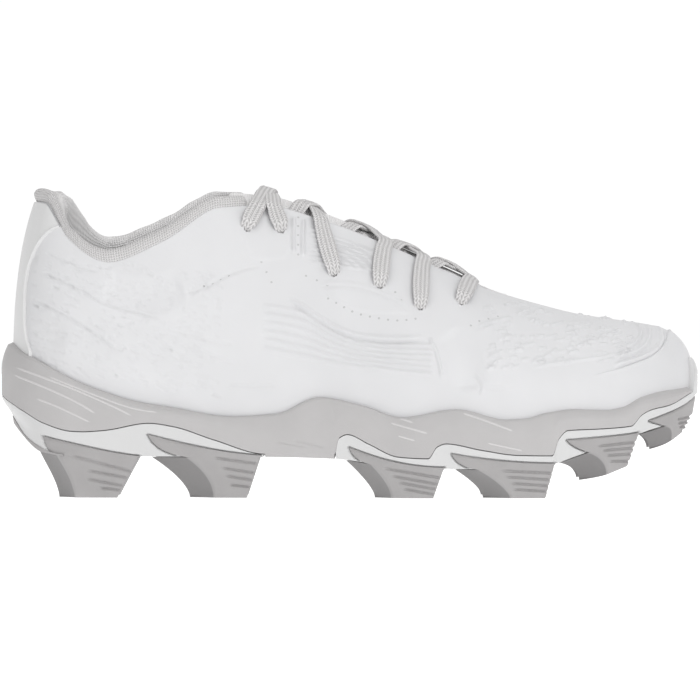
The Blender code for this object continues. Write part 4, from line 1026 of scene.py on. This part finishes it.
studRows = [
    ("heel_rear", -109.4, 0.0, -92.5, 0.0, -120.4, 24.4, -83.4, 16.6, -116.4, 0.0, -123.4,
     15.0, 1.3, 1.65, 0.16),
    ("heel_front", -54.0, 0.0, -41.0, 0.0, -80.4, 25.2, -35.4, 17.0, -64.5, 0.0, -80.0,
     14.0, 1.5, 2.2, 0.16),
    ("ball_rear", 16.5, 0.0, 33.0, 0.0, 0.0, 20.2, 37.4, 12.2, 9.5, 0.0, -2.0,
     15.0, 1.9, 2.0, 0.16),
    ("ball_front", 63.5, 0.0, 77.0, 0.0, 40.2, 17.6, 80.4, 13.8, 52.0, 0.0, 41.0,
     15.0, 1.9, 1.5, 0.16),
    ("toe_rear", 101.6, 9.2, 109.2, 12.4, 84.8, 23.0, 113.0, 26.0, 90.0, 6.8, 81.6,
     14.0, 0.7, 2.0, 0.28),
    ("toe_front", 127.0, 22.4, 132.0, 26.2, 116.6, 30.4, 135.3, 40.2, 117.6, 18.8, 112.6,
     12.0, 0.7, 5.0, 0.42),
]
studs = [dict(zip(studColumns, row)) for row in studRows]
studPiece = {
    "rows": 66, "finRows": 22, "across": 34, "flare": 1.6, "setback": 2.0, "below": 0.4, "recess": 0.3,
    "finDepth": 1.0, "pocket": 1.5, "clear": 0.3, "groove": 0.9, "grooveWidth": 0.75, "scoop": 1.2,
}
studGrooves = {  # cuts in a stud's outer face, each from x, z to x, z
    "heel_rear": [
        (-112.0, 17.0, -87.0, 10.4), (-105.0, 11.0, -89.0, 8.0),
        (-105.0, 7.6, -92.0, 5.0), (-100.0, 4.0, -93.0, 3.2),
    ],
    "heel_front": [
        (-54.6, 16.0, -37.0, 13.6), (-51.4, 12.0, -38.6, 10.0),
        (-49.8, 8.8, -39.4, 7.2), (-48.2, 5.2, -40.2, 4.4),
    ],
    "ball_rear": [
        (12.6, 12.0, 34.0, 8.4), (15.4, 9.0, 33.4, 5.8),
        (18.4, 6.4, 32.6, 3.8), (20.6, 3.8, 31.8, 1.8),
    ],
    "ball_front": [
        (59.4, 11.0, 78.6, 10.0), (61.0, 8.6, 78.2, 7.4),
        (63.4, 6.0, 77.6, 5.0), (64.2, 3.6, 77.0, 2.8),
    ],
    "toe_rear": [
        (97.8, 20.5, 113.0, 22.0), (99.8, 18.8, 112.2, 19.7),
        (101.8, 16.8, 111.8, 17.4), (103.0, 14.5, 111.0, 14.5),
    ],
    "toe_front": [
        (130.6, 30.8, 137.0, 32.0), (131.0, 29.2, 136.6, 30.2),
        (131.4, 27.6, 136.2, 28.6), (132.2, 26.2, 135.6, 26.8),
    ],
}


def sidePoint(side, u, z, inset=0.0):
    x = footX(u)
    below = np.maximum(0.0, lineHeight(x) - z)
    heel = (1.0 - ease(x, *solePiece["heelRoundX"])) * ease(below, *solePiece["heelRoundDeep"])
    taper = solePiece["taper"] * below + solePiece["heelRound"] * heel
    edge = footPoint(side, u) + outward(side, u) * (wallReach(x) - taper - inset)[..., None]
    edge[..., 2] = z
    return edge


def plateBed(x):
    return np.minimum(underHeight(x) + solePiece["plateThickness"], lineHeight(x) - 2.0 * gap)


def soleColumns(low, high, count):
    even = np.linspace(soleRear, soleFront, count)
    arch = [solePiece["archRear"] + shift for shift in (-gap, 0.0, 2.0 * gap)]
    arch += [solePiece["archFront"] + shift for shift in (-2.0 * gap, 0.0, gap)]
    ends = [soleRear + shift for shift in solePiece["rearEnd"]]
    ends += [soleFront - shift for shift in solePiece["frontEnd"]]
    bumper = [solePiece["bumperStart"] + shift for shift in (-1.0, -0.6, -0.5, -gap, 1.0)]
    x = np.unique(np.concatenate([even, arch, ends, bumper]))
    return rowAtFootX(x[(x >= low) & (x <= high)])


def cupHalf(side, u):
    x = footX(u)
    out = outward(side, u)
    foot = footPoint(side, u)
    rim, under = rimHeight(x), underHeight(x)
    line = np.minimum(lineHeight(x), rim - 2.0)
    bumped = x > solePiece["bumperStart"] - 0.5
    step = solePiece["plateLip"] + gap
    inset = np.where(bumped, step, 0.0)
    rimSkin = skinAtHeight(side, u, rim)
    rimSkin[:, 2] = rim

    def lip(away, rise):
        return rimSkin + out * away + np.array([0.0, 0.0, rise])

    base = foot + out * gap
    base[:, 2] -= gap
    wall = skinAtHeight(side, u, 0.5 * (foot[:, 2] + rim)) + out * gap
    half = [base, wall, lip(gap, -0.4), lip(gap + 0.35, 0.0), lip(gap + 0.8, 0.0), lip(gap + 1.2, -0.3)]
    lines = [np.zeros(len(x)) for _ in half]
    top = rim - 0.8
    points = ribs(side, u)[0]
    for share in np.linspace(0.0, 1.0, solePiece["cupLevels"]):
        z = top + (line - top) * share
        tuck = np.where(bumped, 0.0, 0.7 * np.maximum(1.0 - share / 0.5, 0.0) ** 2)[:, None]
        near = alongRibs(points, points[..., 2], z)
        near[:, 2] = z
        level = sidePoint(side, u, z, inset) * (1.0 - tuck) + (near + out * (gap + solePiece["lip"])) * tuck
        raised = np.zeros(len(x))
        for width, height, places in cupLines:
            addLine(raised, level[:, 0].copy(), z.copy(), width, height, places)
        half.append(level + out * raised[:, None])
        # the ridges' heights also go to the uv, where grey_foam paints them paler: a painted highlight
        lines.append(raised)
    arch = ((x > solePiece["archRear"] + gap) & (x < solePiece["archFront"] - gap))[:, None]
    foamFoot = sidePoint(side, u, line - 0.2, inset)
    plateSeat = sidePoint(side, u, line - np.where(bumped, 0.2, 0.0), step)
    half.append(np.where(arch, foamFoot, plateSeat))
    half.append(np.where(arch, sidePoint(side, u, under, 1.5), sidePoint(side, u, plateBed(x) + gap, step)))
    lines += [np.zeros(len(x))] * 2
    return np.stack(half, 1), np.stack(lines, 1)


def foamCup():
    u = soleColumns(soleRear, soleFront, solePiece["cupColumns"])
    near, far = cupHalf(lateral, u), cupHalf(medial, u)
    rings, raised = [np.concatenate([a, b[:, ::-1]], 1) for a, b in zip(near, far)]
    return loft("midsole", rings, True, np.stack([raised, 0.0 * raised], -1), sharp=50.0)


dress("midsole_cup", foamCup(), "grey_foam", "grey_foam", "midsole")
print("midsole: cup")


def plateTop(x):
    share = ease(x, solePiece["bumperStart"], solePiece["bumperFull"])
    line = lineHeight(x) - gap
    return line + (solePiece["bumperTop"] - line) * share


def finTop(stud, across):
    return mix(stud["cornerZ"], stud["tipZ"], (1.0 - across) ** stud["hollow"])


def bodyRear(stud):
    # where the rear edge, which runs on up to the fin's tip, meets the underside
    x = stud["rearX"]
    for _ in range(20):
        climb = (underHeight(x) - stud["rearZ"]) / (stud["tipZ"] - stud["rearZ"])
        x = 0.5 * (x + mix(stud["rearX"], stud["tipX"], climb ** stud["flare"]))
    return x


def finHook(stud, share):
    # the fin's lower edge from the stud's body to the tip, and how far it bends off the straight line
    start = np.array([bodyRear(stud), underHeight(bodyRear(stud)) - studPiece["below"]])
    tip = np.array([stud["tipX"], stud["tipZ"]])
    pull = np.array([mix(tip[0], start[0], stud["hook"]), mix(start[1], tip[1], 1.3 * stud["hook"])])
    s = np.asarray(share, float)[..., None]
    edge = start * (1.0 - s) ** 2 + pull * 2.0 * s * (1.0 - s) + tip * s**2
    return edge, edge - mix(start, tip, s)


def finOutline(stud):
    across = np.linspace(0.0, 1.0, 30)
    top = np.stack([mix(stud["tipX"], stud["cornerX"], across), finTop(stud, across)], 1)
    below = [(x, underHeight(x) - 5.0) for x in (stud["cornerX"], bodyRear(stud))]
    return np.concatenate([top, below, finHook(stud, across[:-1])[0]])


def pocketDepth(x, z):
    # pockets in the plate's side that the fins lie in
    depth = np.zeros(len(x))
    for stud in studs:
        line = finOutline(stud)
        found = np.flatnonzero((x > line[:, 0].min() - 1.5) & (x < line[:, 0].max() + 1.5))
        if len(found):
            distance = nearLine(np.concatenate([line, line[:1]]), x[found], z[found])[0]
            signed = np.where(insideLine(line, x[found], z[found]), distance, -distance)
            cut = studPiece["pocket"] * ease(signed, -studPiece["clear"] - 0.35, -studPiece["clear"] + 0.05)
            depth[found] = np.maximum(depth[found], cut)
    return depth


def plateHalf(side, u):
    x = footX(u)
    top, line, under = plateTop(x), lineHeight(x) - gap, underHeight(x)
    lip, thick = solePiece["plateLip"], solePiece["bumperThickness"]
    tall = top - line  # only before the toe

    def lean(z):
        most, fromZ, over = solePiece["bumperLean"]
        return most * (np.maximum(z - fromZ, 0.0) / over) ** 2

    def back(z):
        # where the bumper's inner face meets the toe cap, counted in from the sole's side
        away = ((skinAtHeight(side, u, z) - footPoint(side, u)) * outward(side, u)).sum(-1)
        touching = np.maximum(wallReach(x) - away - solePiece["bumperTouch"], thick)
        return np.where(tall > 1.0, touching, lean(z) + thick)

    levels = [(plateBed(x), np.full(len(x), lip)), (line, np.full(len(x), lip))]
    for share in (0.2, 0.4, 0.6, 0.8, 0.94):
        z = line + tall * share
        levels.append((z, mix(lip, back(z), share)))
    for drop, inset in ((0.05, 0.75), (0.0, 0.5), (0.05, 0.25)):
        levels.append((top - drop, mix(lean(top), back(top), inset)))
    for share in (0.94, 0.8, 0.6, 0.4, 0.2):
        z = line + tall * share
        levels.append((z - 0.1, lean(z)))
    for share in np.linspace(0.03, 1.0, solePiece["plateLevels"]):
        z = mix(line, under + 0.2, share)
        levels.append((z, pocketDepth(x, z)))
    levels.append((under, levels[-1][1] + 0.3))
    return np.stack([sidePoint(side, u, z, inset) for z, inset in levels], 1)


def plate(name, low, high):
    u = soleColumns(low, high, int(270.0 / solePiece["plateStep"]))  # the sole is about 270 mm long
    rings = np.concatenate([plateHalf(lateral, u), plateHalf(medial, u)[:, ::-1]], 1)
    return loft(name, rings, True, sharp=45.0)


for name, node, low, high in (
    ("plate_heel", "outsole_heel", soleRear, solePiece["archRear"] - gap),
    ("plate_forefoot", "outsole_forefoot", solePiece["archFront"] + gap, soleFront),
):
    # the plates wear the darker copy of white_moulded: painted shade
    dress(name, plate(name, low, high), "white_moulded_painted_shade", "white_moulded", node)
print("outsole: plates")


def soften(ring, passes):
    # rounds a closed ring's corners a little
    for _ in range(passes):
        ring = 0.25 * np.roll(ring, 1, 0) + 0.5 * ring + 0.25 * np.roll(ring, -1, 0)
    return ring


def inboard(side, u, z, depth):
    near, far = sidePoint(side, u, z), sidePoint(1 - side, u, z)
    span = np.linalg.norm(far - near, axis=-1, keepdims=True)
    return near + (far - near) / span * np.minimum(depth, 0.45 * span)


def grooveCut(stud, side, u, z):
    seen = sidePoint(side, u, z)[:, 0]
    cut = np.zeros(len(u))
    for fromX, fromZ, toX, toZ in studGrooves[stud["name"]]:
        mid = (0.5 * (fromX + toX), 0.5 * (fromZ + toZ))
        longer = (toX + 0.3 * (toX - fromX), toZ + 0.3 * (toZ - fromZ))  # runs out over the front edge
        line = [(fromX, fromZ), mid, longer]
        addLine(cut, seen, z, studPiece["grooveWidth"], studPiece["groove"], line, 12)
    return cut


def studMesh(name, side, stud):
    across = np.linspace(0.0, 1.0, studPiece["across"])
    edge = np.linspace(0.0, 1.0, 10)[1:-1, None]
    topRear, topFront = bodyRear(stud), mix(stud["frontX"], stud["cornerX"], 0.95)
    rings = []
    for share in np.linspace(0.0, 1.0, studPiece["rows"]):
        rear = mix(stud["rearX"], topRear, share ** stud["flare"])
        front = mix(stud["frontX"], topFront, share)
        innerRear = mix(stud["innerX"], stud["innerTopX"], share ** studPiece["flare"])
        foot = 0.7 * (1.0 - ease(share, 0.0, 0.045))  # the foot's rounded edge
        x = mix(rear, front, across)
        z = mix(mix(stud["rearZ"], stud["frontZ"], across), underHeight(x) - studPiece["below"], share)
        u = rowAtFootX(x)
        outer = sidePoint(side, u, z, studPiece["recess"] + grooveCut(stud, side, u, z) + foot)
        x = mix(innerRear, front - studPiece["setback"], across)
        z = mix(mix(stud["innerZ"], stud["frontZ"], across), underHeight(x) - studPiece["below"], share)
        inner = inboard(side, rowAtFootX(x), z, stud["depth"] - foot)
        frontFace = mix(outer[-1], inner[-1], edge)
        rearFace = mix(inner[0], outer[0], edge)
        rearFace[:, 0] += studPiece["scoop"] * 4.0 * (edge * (1.0 - edge))[:, 0] * (1.0 - 0.6 * share)
        rings.append(soften(np.concatenate([outer, frontFace, inner[::-1], rearFace]), 1))
    for share in np.linspace(0.0, 1.0, studPiece["finRows"]):
        base = mix(topRear, topFront, across)
        x = mix(base, mix(stud["tipX"], stud["cornerX"], across), share)
        z = mix(underHeight(base) - studPiece["below"], finTop(stud, across), share)
        bent = finHook(stud, share)[1] * (1.0 - across[:, None]) ** 3
        x, z = x + bent[:, 0], z + bent[:, 1]
        tuck = 0.5 * np.maximum(ease(share, 0.88, 1.0), share * (1.0 - ease(x - x[0], 0.0, 0.9)))
        u = rowAtFootX(x)
        outer = sidePoint(side, u, z, studPiece["recess"] + np.maximum(tuck, grooveCut(stud, side, u, z)))
        inner = sidePoint(side, u, z, studPiece["recess"] + studPiece["finDepth"] + 0.0 * x)
        frontFace, rearFace = mix(outer[-1], inner[-1], edge), mix(inner[0], outer[0], edge)
        rings.append(np.concatenate([outer, frontFace, inner[::-1], rearFace]))
    rings = np.stack(rings)
    count, wide = rings.shape[:2]
    half, last = len(across), (count - 1) * wide
    facing = 2 * half + len(edge) - 1  # the inner point across from outer point k is facing - k
    ends = [list(range(wide)), [last + k for k in range(half - 1, half + len(edge) + 1)]]
    ends.append([last + k for k in (*range(facing, wide), 0)])
    ends += [[last + k, last + k + 1, last + facing - k - 1, last + facing - k] for k in range(half - 1)]
    # the rear and inner faces are marked here for grey_rubber to paint darker: painted shade
    shadeMask = np.zeros((count, wide))
    shadeMask[: studPiece["rows"], half + len(edge):] = 1.0
    faces = stripFaces(count, wide, loop=True) + ends
    mesh = meshFrom(name, rings, faces, np.stack([shadeMask, 0.0 * shadeMask], -1))
    mesh.set_sharp_from_angle(angle=math.radians(50.0))
    return mesh


for side in (lateral, medial):
    for stud in studs:
        name = f"{stud['name']}_{sideName[side]}"
        mesh = studMesh("cleat_" + name, side, stud)
        dress("cleat_" + name, mesh, "grey_rubber", "grey_rubber", "stud_" + name)

# A strip of grey rubber runs up round the heel, under the white plate: painted shade standing in for the
# plate's underside in shadow
shadeSheetPiece = {"columns": 40, "fromX": -133.4, "toX": -113.0, "out": 0.3, "deep": 8.0}
shadeSheetEdge = [(-137.0, 35.4), (-133.0, 29.4), (-129.8, 24.8), (-125.0, 21.0), (-118.6, 18.0), (-112.0, 16.8)]


def heelShadeSheet(name, side):
    x = np.linspace(shadeSheetPiece["fromX"], shadeSheetPiece["toX"], shadeSheetPiece["columns"])
    u, under = rowAtFootX(x), underHeight(x)
    top = under + 2.0
    for _ in range(4):
        top = np.maximum(heightCurve(shadeSheetEdge)(sidePoint(side, u, top)[:, 0]), under + 0.1)
    ring = [sidePoint(side, u, top, 0.6 + 0.0 * x)]
    for share in (0.0, 0.25, 0.5, 0.75, 1.0):
        ring.append(sidePoint(side, u, mix(top, under - 0.4, share), -shadeSheetPiece["out"] + 0.0 * x))
    ring += [inboard(side, u, under + rise, shadeSheetPiece["deep"]) for rise in (-0.4, 0.6)]
    return loft(name, np.stack(ring, 1), True, sharp=50.0)


for side in (lateral, medial):
    name = "cleat_tail_" + sideName[side]
    dress(name, heelShadeSheet(name, side), "grey_rubber", "grey_rubber")
print("studs:", 2 * len(studs))


# Lace: each strand comes out of a hole, crosses the tongue and goes under the other eyestay to the next hole
lacePiece = {
    "width": 6.6, "thickness": 1.4, "along": 120, "around": 28, "holeWidth": 4.6, "holeThickness": 2.4,
    "lift": 0.9, "up": 1.5, "edge": 0.995,
}
overEdge = (4.0, -3.2, -6.0, 1.6, 0.8, 3.4)  # from each hole to where its strand goes over the throat's edge
# for each strand: side of the start, start hole, end hole, rise at the crossing, place under the far edge
crossings = [
    ((lateral, 2, 1, -0.2, 3.0), (lateral, 1, 2, 1.1, -5.0)),
    ((lateral, 3, 2, -0.2, 4.6), (medial, 3, 2, 1.1, 4.6)),
    ((lateral, 4, 3, 1.1, 3.0), (medial, 4, 3, -0.2, 3.0)),
    ((lateral, 5, 4, -0.2, 3.0), (medial, 5, 4, 1.1, 3.0)),
    ((lateral, 6, 5, 1.1, 3.0), (medial, 6, 5, -0.2, 3.0)),
]
eyeletAt = [eyelets(side) for side in (lateral, medial)]


def strandPath(side, startHole, endHole, rise, under):
    # rows of point, normal, width and thickness along a strand
    far = 1 - side
    uStart, wStart = eyeletAt[side][0][startHole - 1], eyeletAt[side][1][startHole - 1]
    uEnd, wEnd = eyeletAt[far][0][endHole - 1], eyeletAt[far][1][endHole - 1]
    wStart = wStart + lacePiece["up"] / ribs(side, np.array([uStart]))[1][0, -1]
    uNear = rowAtEdgeX(eyeletPlaces[startHole - 1][0] + overEdge[startHole - 1])
    uFar = rowAtEdgeX(eyeletPlaces[endHole - 1][0] + under)
    uMiddle = 0.5 * (uNear + uFar)
    edge = lacePiece["edge"]
    up = skinNormal(side, uMiddle, edge) + skinNormal(far, uMiddle, edge)
    up /= np.linalg.norm(up)
    lift, wide, thick = lacePiece["lift"], lacePiece["width"], lacePiece["thickness"]
    narrow, bunched = lacePiece["holeWidth"], lacePiece["holeThickness"]
    path = []

    def onSkin(whichSide, u, w, height, width, thickness, lean=None):
        normal = skinNormal(whichSide, u, w)
        point = skin(whichSide, u, w) + normal * height
        if lean is not None:
            normal = normal * (1.0 - lean) + up * lean
        path.append((point, normal, width, thickness))

    onSkin(side, uStart, wStart, -4.5, narrow, bunched)
    onSkin(side, uStart, wStart, -1.2, narrow, bunched)
    climb = ((0.03, 0.9, 0.82), (0.12, 1.5, 0.98), (0.3, 1.3, 1.05))  # share, height, width
    climb += ((0.5, lift + 0.2, 1.05), (0.75, lift, 1.0), (1.0, lift, 1.0))
    for share, height, width in climb:
        u, w = mix(uStart, uNear, share), mix(wStart, edge, share)
        onSkin(side, u, w, height, wide * width, thick, 0.5 * share**3)
    near = path[-1][0]
    farEdge = lifted(far, uFar, edge, np.array(lift))
    crown = max(0.8, float(heightCurve(laceCrown)(uMiddle)) - 0.2)
    for share in (0.2, 0.4, 0.6, 0.78):
        hump = 1.0 - (2.0 * share - 1.0) ** 2
        over = np.exp(-(((share - 0.5) / 0.25) ** 2)) * rise
        path.append((mix(near, farEdge, share) + up * (crown * hump + over), up, wide, thick))
    beneath = -(upperPiece["wall"] + 0.9)
    for share, width in ((0.06, 0.9), (0.35, 0.8), (0.7, 0.7), (1.0, 0.5)):
        onSkin(far, mix(uFar, uEnd, share), mix(0.97, wEnd, share), beneath, wide * width, thick)
    # the top strands' hidden ends come up into their holes, the others stop below
    onSkin(far, uEnd, wEnd, -1.0 if startHole < 3 else -4.2, narrow, bunched)
    return path


def strandRings(path):
    count, around = lacePiece["along"], lacePiece["around"]
    table = np.array([[*point, *normal, width, thickness] for point, normal, width, thickness in path])
    fine = bend(table, count * 4)
    reach = lengthAlong(fine[:, :3])
    even = np.linspace(0.0, reach[-1], count)
    fine = np.stack([np.interp(even, reach, fine[:, k]) for k in range(8)], 1)
    tangent = unitVectors(np.gradient(fine[:, :3], axis=0))
    across = np.cross(tangent, fine[:, 3:6])
    for _ in range(6):
        across[1:-1] = 0.25 * across[:-2] + 0.5 * across[1:-1] + 0.25 * across[2:]
    across = unitVectors(across)
    normal = np.cross(across, tangent)
    turn = np.linspace(0.0, 2.0 * math.pi, around + 1)
    side = np.sign(np.cos(turn)) * np.abs(np.cos(turn)) ** 0.7
    rise = np.sign(np.sin(turn)) * np.abs(np.sin(turn)) ** 0.55
    ridges = 1.0 + 0.10 * np.cos(side * 1.5 * 2.0 * math.pi)
    half, thick = fine[:, 6:7] * 0.5, fine[:, 7:8] * 0.5
    rings = fine[:, None, :3] + across[:, None] * (half * side)[..., None]
    rings = rings + normal[:, None] * (thick * (1.0 + rise * ridges))[..., None]
    uv = np.stack(np.broadcast_arrays(side * lacePiece["width"] * 0.5 + 10.0, even[:, None]), -1)
    return rings, uv, reach[-1]


laceLength = 0.0
for number, crossing in enumerate(crossings, 1):
    grids, maps, faces, base = [], [], [], 0
    for strand in crossing:
        rings, uv, length = strandRings(strandPath(*strand))
        laceLength += length
        width = rings.shape[1]
        strip = np.array(stripFaces(*rings.shape[:2])) + base
        faces += strip.tolist()
        faces += [[start + k for k in range(width - 1)] for start in (base, base + (len(rings) - 1) * width)]
        grids.append(rings.reshape(-1, 3))
        maps.append(uv.reshape(-1, 2))
        base += rings.shape[0] * width
    name = f"lace_strands_{number}"
    mesh = meshFrom(name, np.concatenate(grids), faces, np.concatenate(maps))
    dress(name, mesh, "grey_lace", "grey_lace", f"lace_crossing_{number}")
print("lace: strands together are", round(laceLength), "mm long")


# Small repeated pieces: points with a facing and an along direction, and one unit on each
def scatterTree():
    tree = bpy.data.node_groups.new("scatter", "GeometryNodeTree")
    face = tree.interface
    face.new_socket("Geometry", in_out="INPUT", socket_type="NodeSocketGeometry")
    unit = face.new_socket("Unit", in_out="INPUT", socket_type="NodeSocketObject")
    size = face.new_socket("Size", in_out="INPUT", socket_type="NodeSocketFloat")
    finish = face.new_socket("Finish", in_out="INPUT", socket_type="NodeSocketMaterial")
    face.new_socket("Geometry", in_out="OUTPUT", socket_type="NodeSocketGeometry")
    nodes, links = tree.nodes, tree.links
    start, end = nodes.new("NodeGroupInput"), nodes.new("NodeGroupOutput")
    direction = []
    for attribute in ("facing", "along"):
        named = nodes.new("GeometryNodeInputNamedAttribute")
        named.data_type = "FLOAT_VECTOR"
        named.inputs["Name"].default_value = attribute
        direction.append(named.outputs["Attribute"])
    turned = nodes.new("FunctionNodeAxesToRotation")
    turned.primary_axis, turned.secondary_axis = "Z", "X"
    links.new(direction[0], turned.inputs[0])
    links.new(direction[1], turned.inputs[1])
    info = nodes.new("GeometryNodeObjectInfo")
    links.new(start.outputs["Unit"], info.inputs["Object"])
    placed = nodes.new("GeometryNodeInstanceOnPoints")
    links.new(start.outputs["Geometry"], placed.inputs["Points"])
    links.new(info.outputs["Geometry"], placed.inputs["Instance"])
    links.new(turned.outputs["Rotation"], placed.inputs["Rotation"])
    links.new(start.outputs["Size"], placed.inputs["Scale"])
    real = nodes.new("GeometryNodeRealizeInstances")
    links.new(placed.outputs["Instances"], real.inputs["Geometry"])
    coated = nodes.new("GeometryNodeSetMaterial")
    links.new(real.outputs["Geometry"], coated.inputs["Geometry"])
    links.new(start.outputs["Finish"], coated.inputs["Material"])
    links.new(coated.outputs["Geometry"], end.inputs["Geometry"])
    return tree, unit.identifier, size.identifier, finish.identifier


scatter, unitInput, sizeInput, finishInput = scatterTree()


def scattered(name, places, facing, along, unitMesh, size, finish, slot):
    cloud = bpy.data.meshes.new(name)
    cloud.from_pydata((places * mm).tolist(), [], [])
    for attribute, values in (("facing", facing), ("along", along)):
        layer = cloud.attributes.new(attribute, "FLOAT_VECTOR", "POINT")
        layer.data.foreach_set("vector", np.asarray(values, np.float32).ravel())
    holder = bpy.data.objects.new(name + "_points", cloud)
    unit = bpy.data.objects.new(name + "_unit", unitMesh)
    scene.collection.objects.link(holder)
    scene.collection.objects.link(unit)
    spread = holder.modifiers.new("scatter", "NODES")
    spread.node_group = scatter
    spread[unitInput] = unit
    spread[sizeInput] = size
    spread[finishInput] = finishes[finish]
    made = bpy.data.meshes.new_from_object(holder.evaluated_get(bpy.context.evaluated_depsgraph_get()))
    holder.modifiers.clear()
    bpy.data.objects.remove(holder)
    bpy.data.objects.remove(unit)
    made.shade_smooth()
    return dress(name, made, finish, slot)


def lathe(name, profile, count):
    # a ring turned round Z from a closed profile of radius and height, in millimetres
    turn = np.linspace(0.0, 2.0 * math.pi, count, endpoint=False)
    radius, height = np.array(profile).T
    rings = np.stack([
        np.stack([radius * math.cos(t), radius * math.sin(t), height], 1) for t in turn
    ])
    grid = np.concatenate([rings, rings[:1]], 0)
    return meshFrom(name, grid, stripFaces(*grid.shape[:2], loop=True))


eyeletRim = [  # radius and height
    (1.4, -2.3), (1.4, -0.2), (1.48, 0.05), (1.65, 0.12), (2.0, 0.04), (2.4, -0.3), (2.1, -0.6),
    (2.0, -2.3),
]
rimPlaces = np.concatenate([at[2] for at in eyeletAt])
rimFacing = np.concatenate([at[3] for at in eyeletAt])
rimAlong = np.cross(rimFacing, np.array([0.0, 0.0, 1.0]))
rim = lathe("rim", eyeletRim, 32)
scattered("eyelet_rims", rimPlaces, rimFacing, rimAlong, rim, 1.0, "white_synthetic", "white_synthetic")

# Perforations: rows of small holes beside the panel lines, on both sides
perforation = {"pitch": 3.6, "around": 10, "samples": 60}
holeRows = [
    [(-58.2, 84.0), (-53.2, 85.8), (-48.2, 88.0)],
    [(-35.4, 93.6), (-33.4, 89.6), (-31.4, 85.6)],
    [(-20.8, 111.4), (-20.9, 104.0), (-20.8, 96.6)],
    [(-17.7, 88.1), (-14.2, 86.7), (-9.2, 84.4)],
    [(-8.9, 79.1), (-5.2, 77.1), (2.1, 73.4), (10.5, 71.4), (18.8, 70.4), (25.8, 71.1)],
    [(17.8, 81.6), (19.0, 80.0), (20.2, 78.4)],
    [(47.8, 68.4), (51.8, 70.4), (55.8, 71.2), (58.6, 72.0)],
]


def rowPlaces(rows, pitch):
    # even places along rows on both sides, with the face's normal and the row's direction there
    places, facing, along = [], [], []
    for points in rows:
        line = bend(points, perforation["samples"])
        each = np.arange(len(line))
        for side in (lateral, medial):
            u, w = placeOnSide(side, line[:, 0], line[:, 1])
            path = skin(side, u, w)
            reach = lengthAlong(path)
            even = np.linspace(0.0, reach[-1], max(2, int(reach[-1] / pitch) + 1))
            pick = np.interp(even, reach, each)
            u, w = np.interp(pick, each, u), np.interp(pick, each, w)
            spot = skin(side, u, w)
            normal = skinNormal(side, u, w)
            height = relief(spot[:, 0], spot[:, 2])
            places.append(spot + normal * height[:, None])
            facing.append(normal)
            along.append(np.gradient(spot, axis=0))
    return np.concatenate(places), np.concatenate(facing), np.concatenate(along)


pitProfile = [(0.001, -0.25), (0.28, -0.12), (0.40, 0.03), (0.33, 0.06), (0.18, 0.0), (0.001, -0.05)]
pit = lathe("pit", pitProfile, perforation["around"])
rowsOfHoles = rowPlaces(holeRows, perforation["pitch"])
scattered("perforations", *rowsOfHoles, pit, 1.0, "hole_shade", "white_synthetic")
print("small pieces: eyelet rims and perforations")


# Floor, light and camera
studio = {
    "floor": 9.0, "sky": (0.46, 1.02), "wall": (0.25, 0.85),
    "distance": 4.5, "elevation": 0.5, "frameWidth": 0.280, "aim": (-0.0002, 0.0, 0.0584),
    "lamps": [  # place, size, watts
        ((-1.2, -1.6, 0.9), 1.2, 5.0),
        ((0.9, -1.7, 1.0), 1.4, 17.0),
        ((0.3, 0.1, 2.2), 1.8, 8.0),
    ],
    "sun": (0.3, 75.0),
}


def makeFloor():
    half = studio["floor"] / 2.0
    mesh = bpy.data.meshes.new("floor")
    corners = [(-half, -half, 0.0), (half, -half, 0.0), (half, half, 0.0), (-half, half, 0.0)]
    mesh.from_pydata(corners, [], [(0, 1, 2, 3)])
    floor = bpy.data.objects.new("floor", mesh)
    scene.collection.objects.link(floor)
    mesh.materials.append(paleFloor())


def makeLight():
    world = bpy.data.worlds.new("studio")
    scene.world = world
    world.use_nodes = True
    nodes = Nodes(world.node_tree)
    y = nodes.parts(nodes.node("ShaderNodeTexCoord", {}, {}, "Generated"))[1]
    dim, bright = studio["sky"]
    # a white wall behind the shoe, a dimmer room before it
    strength = dim + y.ease(*studio["wall"]) * (bright - dim)
    sky = world.node_tree.nodes["Background"]
    sky.inputs["Color"].default_value = (1.0, 1.0, 1.0, 1.0)
    world.node_tree.links.new(strength.socket, sky.inputs["Strength"])
    strength, spread = studio["sun"]  # a wide even light from above keeps the floor white
    data = bpy.data.lights.new("ceiling", "SUN")
    data.energy = strength
    data.angle = math.radians(spread)
    scene.collection.objects.link(bpy.data.objects.new("ceiling", data))
    for number, (place, size, watts) in enumerate(studio["lamps"]):
        data = bpy.data.lights.new(f"softbox_{number}", "AREA")
        data.shape = "SQUARE"
        data.size = size
        data.energy = watts
        lamp = bpy.data.objects.new(f"softbox_{number}", data)
        lamp.location = place
        lamp.rotation_euler = turnTo(np.array(studio["aim"]) - np.array(place))
        scene.collection.objects.link(lamp)


def turnTo(direction):
    x, y, z = direction / np.linalg.norm(direction)
    return (math.acos(-z), 0.0, math.atan2(y, x) - math.pi / 2.0)


def makeCamera():
    data = bpy.data.cameras.new("camera")
    camera = bpy.data.objects.new("camera", data)
    rise = math.radians(studio["elevation"])
    away = np.array([0.0, -math.cos(rise), math.sin(rise)]) * studio["distance"]
    camera.location = np.array(studio["aim"]) + away
    camera.rotation_euler = turnTo(-away)
    data.sensor_width = 36.0
    data.lens = data.sensor_width * studio["distance"] / studio["frameWidth"]
    data.clip_end = 20.0
    scene.collection.objects.link(camera)
    scene.camera = camera


makeFloor()
makeLight()
makeCamera()
scene.view_settings.view_transform = "Standard"
print("studio: floor, light and camera")
